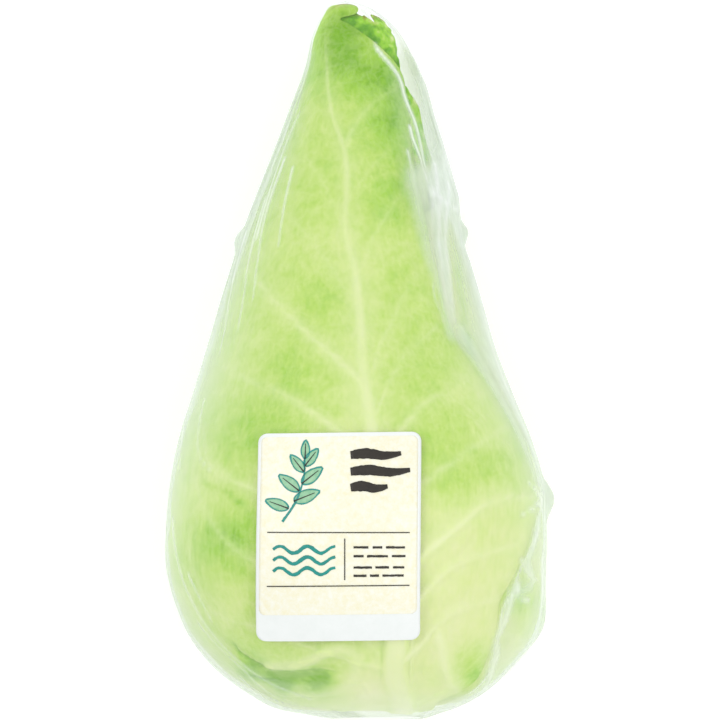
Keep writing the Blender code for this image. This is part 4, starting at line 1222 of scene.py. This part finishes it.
def print_ink(name, grids, level):
    """One mesh from many grids of label places, at one height above the ground."""
    low = LABEL_TOP + INK_STEP * level + INK_CLEAR
    parts = [blade_parts(on_label(grid, low + INK_STEP), on_label(grid, low)) for grid in grids]
    starts = np.cumsum([0] + [len(points) for points, _ in parts[:-1]])
    points = np.concatenate([points for points, _ in parts])
    quads = np.concatenate([quads + start for (_, quads), start in zip(parts, starts)])
    return mesh_object(name, points, (quads[:, ::-1] if face_inwards(points, quads) else quads).tolist())


leaf_shapes, leaf_veins = [], []
for u, v, degrees, length in SPRIG_LEAVES:
    shape, vein_end = sprig_leaf((u, v), math.radians(degrees), length)
    leaf_shapes.append(shape)
    leaf_veins.append(ribbon(((u, v), vein_end), (0.5, 0.2)))
outlines = [ribbon(np.concatenate([shape[:, 0], shape[::-1, -1], shape[:1, 0]]), OUTLINE, rough=0.18)
            for shape in leaf_shapes]
bars = [ribbon([(BAR_START + share * reach, v + rise)
                for share, rise in ((0, 0), (0.3, 0.5), (0.7, -0.3), (1, 0.4))], BAR_WIDTHS, rough=0.035)
        for v, reach in BARS]
rules = [ribbon(ends, (0.35, 0.35)) for ends in RULES]
dashes = [ribbon(((u, v), (u + reach, v)), (0.75, 0.75), rough=0.12)
          for v, stops in DASHES for u, reach in stops]
waves = [ribbon([(WAVE_START + WAVE_STEP * k, v + WAVE_RISE * math.sin(WAVE_TURN * k))
                 for k in range(WAVE_POINTS)], (0.9, 1.3, 0.9), rough=0.1) for v in WAVES]
stem = ribbon(SPRIG_STEM, (0.9, 0.6, 0.5), rough=0.1)
ink_green = print_ink("label_sprig", leaf_shapes, 1)
ink_teal = print_ink("label_waves", waves + outlines + [stem], 2)
ink_dark = print_ink("label_strokes", bars + rules + dashes + leaf_veins, 3)
print("printed pieces:", ink_green.name, ink_teal.name, ink_dark.name)

# %% [markdown]
# ## Colours and node helpers
#
# Colours are written as sRGB hex values, the way one reads them off a screen. Blender's
# shaders want linear light, so one function converts them. One more function adds a node,
# and `fill` gives the inputs of a node or a shader their values and links.

# %% Colour and node helpers


def linear(hex_colour):
    """Linear RGBA from an sRGB hex string."""
    channels = [int(hex_colour[k:k + 2], 16) / 255 for k in (1, 3, 5)]
    return tuple(c / 12.92 if c < 0.04045 else ((c + 0.055) / 1.055) ** 2.4 for c in channels) + (1.0,)


def fill(tree, made, inputs):
    """Give each input a value, a link from an output, or one from a node's first output."""
    for socket, value in inputs.items():
        if isinstance(value, bpy.types.Node):
            value = value.outputs[0]
        if isinstance(value, bpy.types.NodeSocket):
            tree.links.new(value, made.inputs[socket])
        else:
            made.inputs[socket].default_value = value


def node(tree, kind, inputs, stops=(), **settings):
    """Add a shader node, set its properties and colour stops, and fill its inputs."""
    made = tree.nodes.new("ShaderNode" + kind)
    for name, value in settings.items():
        setattr(made, name, value)
    fill(tree, made, inputs)
    for _ in stops[2:]:
        made.color_ramp.elements.new(0.5)
    for k, (position, colour) in enumerate(stops):
        made.color_ramp.elements[k].position = position
        made.color_ramp.elements[k].color = linear(colour)
    return made


def blank_material(name):
    """Material with a Principled shader; returns it with its tree and shader."""
    made = bpy.data.materials.new(name)
    made.use_nodes = True
    return made, made.node_tree, made.node_tree.nodes["Principled BSDF"]


print("linear value of #c9e58c:", [round(c, 3) for c in linear("#c9e58c")])

# %% [markdown]
# ## Leaf tissue
#
# A cabbage leaf is living tissue under a thin coat of wax. Light goes a little way in and
# comes out warmer and greener, so the shader has some subsurface scattering. The wax makes
# a broad, soft sheen: a roughness of 0.40 to 0.56 and a normal index of 1.45. The ribs hold
# hardly any green, so they are pale. The blade between them is mottled, with fine streaks
# along it, and a net of the finest veins, 3 to 6 mm apart, shows in it. A dried rim is brown.

# %% Leaf material
LEAF_NET = 4.5 * MM         # spacing of the finest veins
LEAF_MOTTLE = 16.0 * MM     # size of the soft mottling
LEAF_STREAK = 1.4 * MM      # width of the fine streaks along the leaf
MOTTLE_GAIN = 2.2           # brings the noise, which stays near its middle, to full strength
STREAK_TONE = 0.06          # how much a streak shifts the green
DRY_LEAF = "#94763e"
RIB = "#eff6c2"
GREENS = ((0.0, "#eef3bc"), (0.25, "#e2efa2"), (0.45, "#d4ea8c"), (0.62, "#c2e26e"),
          (0.8, "#a6d648"), (1.0, "#7cb900"))
TIP_GREENS = ((0.0, "#e2f0a8"), (0.3, "#c0e470"), (0.55, "#9ad830"), (1.0, "#56a004"))
HEART_GREENS = ((0.0, "#f4f6d8"), (0.5, "#e4efb8"), (1.0, "#cfe592"))
STALK_GREENS = ((0.0, "#f1f2da"), (1.0, "#e0e5b4"))


def leaf_tissue(name, stops, rib_colour, mottle=0.16):
    """Waxy leaf: tone picks the green, painted shade included; halo the pale ribs and painted highlights;
    dry the brown rim.
    """
    made, tree, shader = blank_material(name)
    tone, halo, dry = (node(tree, "Attribute", {}, attribute_name=field).outputs["Fac"]
                       for field in ("tone", "halo", "dry"))
    place = node(tree, "TexCoord", {}).outputs["Object"]
    soft = node(tree, "TexNoise", {"Vector": place, "Scale": 1 / LEAF_MOTTLE, "Detail": 4.0})
    fine = node(tree, "TexNoise", {"Vector": place, "Scale": 3.4 / LEAF_MOTTLE, "Detail": 6.0})
    both = node(tree, "Math", {0: soft, 1: fine}, operation="ADD")
    centred = node(tree, "Math", {0: both, 1: 1.0}, operation="SUBTRACT")
    shift = node(tree, "Math", {0: centred, 1: mottle * MOTTLE_GAIN, 2: tone}, operation="MULTIPLY_ADD")
    drawn = node(tree, "Mapping", {"Vector": place, "Scale": (1.0, 0.1, 1.0)})
    grown = node(tree, "TexNoise", {"Vector": drawn, "Scale": 1 / LEAF_STREAK, "Detail": 3.0,
                                    "Roughness": 0.6})
    streaky = node(tree, "MapRange", {"Value": grown, "From Min": 0.3, "From Max": 0.7,
                                      "To Min": -STREAK_TONE, "To Max": STREAK_TONE})
    green = node(tree, "Math", {0: shift, 1: streaky}, operation="ADD")
    blade = node(tree, "ValToRGB", {"Fac": green}, stops=stops)
    bent = node(tree, "TexNoise", {"Vector": place, "Scale": 0.8 / LEAF_NET, "Detail": 2.0})
    warped = node(tree, "MixRGB", {"Fac": 0.012, "Color1": place, "Color2": bent.outputs["Color"]})
    net = node(tree, "TexVoronoi", {"Vector": warped, "Scale": 1 / LEAF_NET}, feature="DISTANCE_TO_EDGE")
    line = node(tree, "MapRange", {"Value": net, "From Min": 0.0, "From Max": 0.2,
                                   "To Min": 0.10, "To Max": 0.0})
    broken = node(tree, "MapRange", {"Value": soft, "From Min": 0.3, "From Max": 0.7,
                                     "To Min": 0.6, "To Max": 1.0})
    strength = node(tree, "Math", {0: halo, 1: broken}, operation="MULTIPLY")
    colour = blade
    for share, over in ((line, rib_colour), (strength, rib_colour), (dry, DRY_LEAF)):
        colour = node(tree, "MixRGB", {"Fac": share, "Color1": colour, "Color2": linear(over)})
    rough = node(tree, "MapRange", {"Value": fine, "To Min": 0.40, "To Max": 0.56})
    bump = node(tree, "Bump", {"Strength": 0.35, "Distance": 0.3 * MM, "Height": fine})
    fill(tree, shader, {
        "Base Color": colour, "Roughness": rough, "Normal": bump, "Subsurface Weight": 0.18,
        "Subsurface Radius": (0.9, 1.0, 0.35), "Subsurface Scale": 2.5 * MM, "IOR": 1.45,
        "Specular IOR Level": 0.22})
    return made


front_tissue = leaf_tissue("cabbage_leaf_front", GREENS, RIB)
other_tissue = leaf_tissue("cabbage_leaf_inner", GREENS, RIB)
tip_tissue = leaf_tissue("cabbage_leaf_dark_tip", TIP_GREENS, "#b8e068")
heart_tissue = leaf_tissue("cabbage_heart_leaf", HEART_GREENS, "#f3f6dc", mottle=0.08)
stalk_tissue = leaf_tissue("cut_cabbage_stalk", STALK_GREENS, "#f3f4e0", mottle=0.1)
print("leaf materials:", front_tissue.name, other_tissue.name, tip_tissue.name)

# %% [markdown]
# ## Clear film
#
# Stretch film is a polyolefin plastic a few hundredths of a millimetre thick, blown and
# clear, with an index of about 1.5. It shows by its gloss and by a faint milkiness, which
# grows where the film stands off the leaf, where it is folded, and where we look along it.
# The milkiness is an alpha: low over the leaf, higher over the gaps and the folds. Narrow
# folds are painted whiter than the rest, as a highlight along their ridges.

# %% Film material
STREAK_WIDTH = 2.4 * MM     # streaks along the pull of the film
MILKY_GAP = (2.4, 9.0)      # gaps in mm over which the milkiness grows
GAP_MILK = 0.30             # alpha over the widest gap
FOLD_MILK = 0.6             # alpha of a fold of strength 1
SLANT_MILK = 0.42           # alpha where we look along loose film
LEAST_MILK = 0.03
# The film's colour, and the painted highlight along the ridges of narrow folds
FILM_TINT, RIDGE_HIGHLIGHT_TINT = "#e5f1e2", "#f7fdf8"
RIDGE_GAIN = 1.7            # a fold of strength 0.6 and up gets the whole painted highlight


def clear_film(name):
    """Nearly clear glossy plastic that turns milky over gaps and at a slant."""
    made, tree, shader = blank_material(name)
    gap, folds, loose, ridge = (node(tree, "Attribute", {}, attribute_name=field).outputs["Fac"]
                                for field in ("gap", "milky", "loose", "ridge"))
    place = node(tree, "TexCoord", {}).outputs["Object"]
    milk = node(tree, "MapRange", {"Value": gap, "From Min": MILKY_GAP[0], "From Max": MILKY_GAP[1],
                                   "To Min": 0.0, "To Max": GAP_MILK})
    both = node(tree, "Math", {0: folds, 1: FOLD_MILK, 2: milk}, operation="MULTIPLY_ADD")
    stretched = node(tree, "Mapping", {"Vector": place, "Scale": (1.0, 0.05, 1.0)})
    streaks = node(tree, "TexNoise", {"Vector": stretched, "Scale": 1 / STREAK_WIDTH,
                                      "Detail": 3.0, "Roughness": 0.6})
    streak = node(tree, "MapRange", {"Value": streaks, "From Min": 0.4, "From Max": 0.7,
                                     "To Min": 0.93, "To Max": 1.1})
    milky = node(tree, "Math", {0: both, 1: streak}, operation="MULTIPLY")
    slant = node(tree, "LayerWeight", {"Blend": 0.5}).outputs["Facing"]
    steep = node(tree, "Math", {0: slant, 1: 3.0}, operation="POWER")
    slant_milk = node(tree, "Math", {0: steep, 1: loose}, operation="MULTIPLY")
    total = node(tree, "Math", {0: slant_milk, 1: SLANT_MILK, 2: milky}, operation="MULTIPLY_ADD")
    alpha = node(tree, "Math", {0: total, 1: LEAST_MILK}, operation="ADD", use_clamp=True)
    ridge_highlight = node(tree, "Math", {0: ridge, 1: RIDGE_GAIN}, operation="MULTIPLY", use_clamp=True)
    colour = node(tree, "MixRGB", {"Fac": ridge_highlight, "Color1": linear(FILM_TINT), "Color2": linear(RIDGE_HIGHLIGHT_TINT)})
    bump = node(tree, "Bump", {"Strength": 0.05, "Distance": 0.1 * MM, "Height": streaks})
    fill(tree, shader, {"Base Color": colour, "Alpha": alpha, "Normal": bump, "Roughness": 0.25,
                        "IOR": 1.5, "Specular IOR Level": 0.5})
    return made


film_plastic = clear_film("clear_polyolefin_film")
print("film material:", film_plastic.name)

# %% [markdown]
# ## Paper and ink
#
# The label is coated paper: white, smooth to the touch, with a soft gloss. The ground is a
# cream print with a darker fleck. The inks lie flat on it, and each has a slightly darker
# second colour, as a brush leaves more ink in some places.

# %% Label materials
PAPER_GRAIN = 0.4 * MM


def coated_paper(name, light, dark, fleck):
    """Printed paper with flecks of a second colour."""
    made, tree, shader = blank_material(name)
    place = node(tree, "TexCoord", {}).outputs["Object"]
    broad = node(tree, "TexNoise", {"Vector": place, "Scale": 1 / fleck, "Detail": 8.0, "Roughness": 0.75})
    colour = node(tree, "ValToRGB", {"Fac": broad}, stops=((0.35, light), (0.72, dark)))
    grain = node(tree, "TexNoise", {"Vector": place, "Scale": 1 / PAPER_GRAIN, "Detail": 3.0})
    bump = node(tree, "Bump", {"Strength": 0.12, "Distance": 0.05 * MM, "Height": grain})
    fill(tree, shader, {"Base Color": colour, "Normal": bump, "Roughness": 0.42, "IOR": 1.5})
    return made


stock_paper = coated_paper("coated_white_paper", "#f8fcfa", "#f2f7f4", 6 * MM)
ground_print = coated_paper("cream_fleck_print", "#fffff2", "#faf4cc", 2.4 * MM)
green_ink = coated_paper("soft_green_ink", "#a9d6ae", "#79bd92", 2 * MM)
teal_ink = coated_paper("teal_ink", "#1f9e93", "#23877f", 2 * MM)
dark_ink = coated_paper("dark_brown_ink", "#26221c", "#37322a", 2 * MM)
print("paper and ink materials made")

# %% [markdown]
# ## Dress the solids
#
# Each fine piece takes the place of its plain solid and rides with it.

# %% Replace the plain solids
DRESS = (
    (front_blade, front_tissue, "front_leaf", "front_leaf"),
    (blades["right_leaf"], other_tissue, "right_leaf", "right_leaf"),
    (blades["left_leaf"], other_tissue, "left_leaf", "left_leaf"),
    (blades["tip_leaf"], tip_tissue, "tip_leaf", "tip_leaf"),
    (blades["back_leaf"], other_tissue, "back_leaf", "back_leaf"),
    (heart, heart_tissue, "heart", "heart"),
    (stalk, stalk_tissue, "stalk", "stalk"),
    (film, film_plastic, "film_wrap", "film"),
    (stock, stock_paper, "label", "label_paper"),
    (ground, ground_print, None, "label_paper"),
    (ink_green, green_ink, None, "label_paper"),
    (ink_teal, teal_ink, None, "label_paper"),
    (ink_dark, dark_ink, None, "label_paper"),
)
for piece, finish, replaced, slot in DRESS:
    piece.data.materials.append(finish)
    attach(piece, "root")
    if replaced:
        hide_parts(replaced)
print(len(DRESS), "pieces dressed")

# %% [markdown]
# ## Floor, light and camera
#
# A plain white floor, a bright even sky and two large soft lamps give the calm, shadowless
# light of a produce photo. The camera looks straight down from far away through a long lens,
# so that the head hardly gets any perspective.

# %% Floor, light and camera
PHOTO_WIDTH = 250.0 * MM    # what the picture shows from side to side
CAMERA_HEIGHT = 8.0         # metres
EDGE_HEIGHT = 0.055         # height at which the head is widest, in metres
FLOOR_HALF = 3000.0         # half the side of the board, in mm
FLOOR_DROP = 0.5 * MM       # the floor lies this much under the head
FLOOR_GLOW = 0.25           # light that the white board gives off, as a light table does
COOL_WHITE = (0.95, 0.98, 1.14, 1.0)
SKY_STRENGTH = 0.74
# Square lamps that face the head: name, place and size in metres, power in watts
LAMPS = (
    ("key_softbox", (-0.9, 0.5, 1.3), 0.8, 5.3),
    ("fill_softbox", (1.0, -0.3, 1.3), 0.9, 5.4),
)


def make_floor():
    """White board that glows faintly."""
    corners = np.array([(-1, -1, 0), (1, -1, 0), (1, 1, 0), (-1, 1, 0)])
    floor = mesh_object("floor", FLOOR_HALF * corners, [(0, 1, 2, 3)])
    made, tree, shader = blank_material("matt_white_board")
    fill(tree, shader, {"Base Color": linear("#fbfbfb"), "Roughness": 0.9,
                        "Emission Color": COOL_WHITE, "Emission Strength": FLOOR_GLOW})
    floor.data.materials.append(made)
    floor.location.z = -FLOOR_DROP


make_floor()
for name, place, size, power in LAMPS:
    lamp_data = bpy.data.lights.new(name, "AREA")
    lamp_data.shape, lamp_data.size, lamp_data.energy = "SQUARE", size, power
    lamp = added(name, lamp_data)
    lamp.location = place
    lamp.rotation_euler = (-lamp.location.normalized()).to_track_quat("-Z", "Y").to_euler()
world = bpy.data.worlds.new("bright_studio")
world.use_nodes = True
sky = world.node_tree.nodes["Background"]
fill(world.node_tree, sky, {"Color": (1.0, 1.0, 1.0, 1.0), "Strength": SKY_STRENGTH})
bpy.context.scene.world = world
bpy.context.scene.view_settings.view_transform = "Standard"

camera_data = bpy.data.cameras.new("camera")
camera_data.sensor_width = 36.0
camera_data.lens = camera_data.sensor_width * (CAMERA_HEIGHT - EDGE_HEIGHT) / PHOTO_WIDTH
camera_data.clip_start, camera_data.clip_end = 0.1, 40.0
camera = added("camera", camera_data)
camera.location = (0.0, 0.0, CAMERA_HEIGHT)
bpy.context.scene.camera = camera
print(f"lens {camera_data.lens:.0f} mm from {CAMERA_HEIGHT} m above")
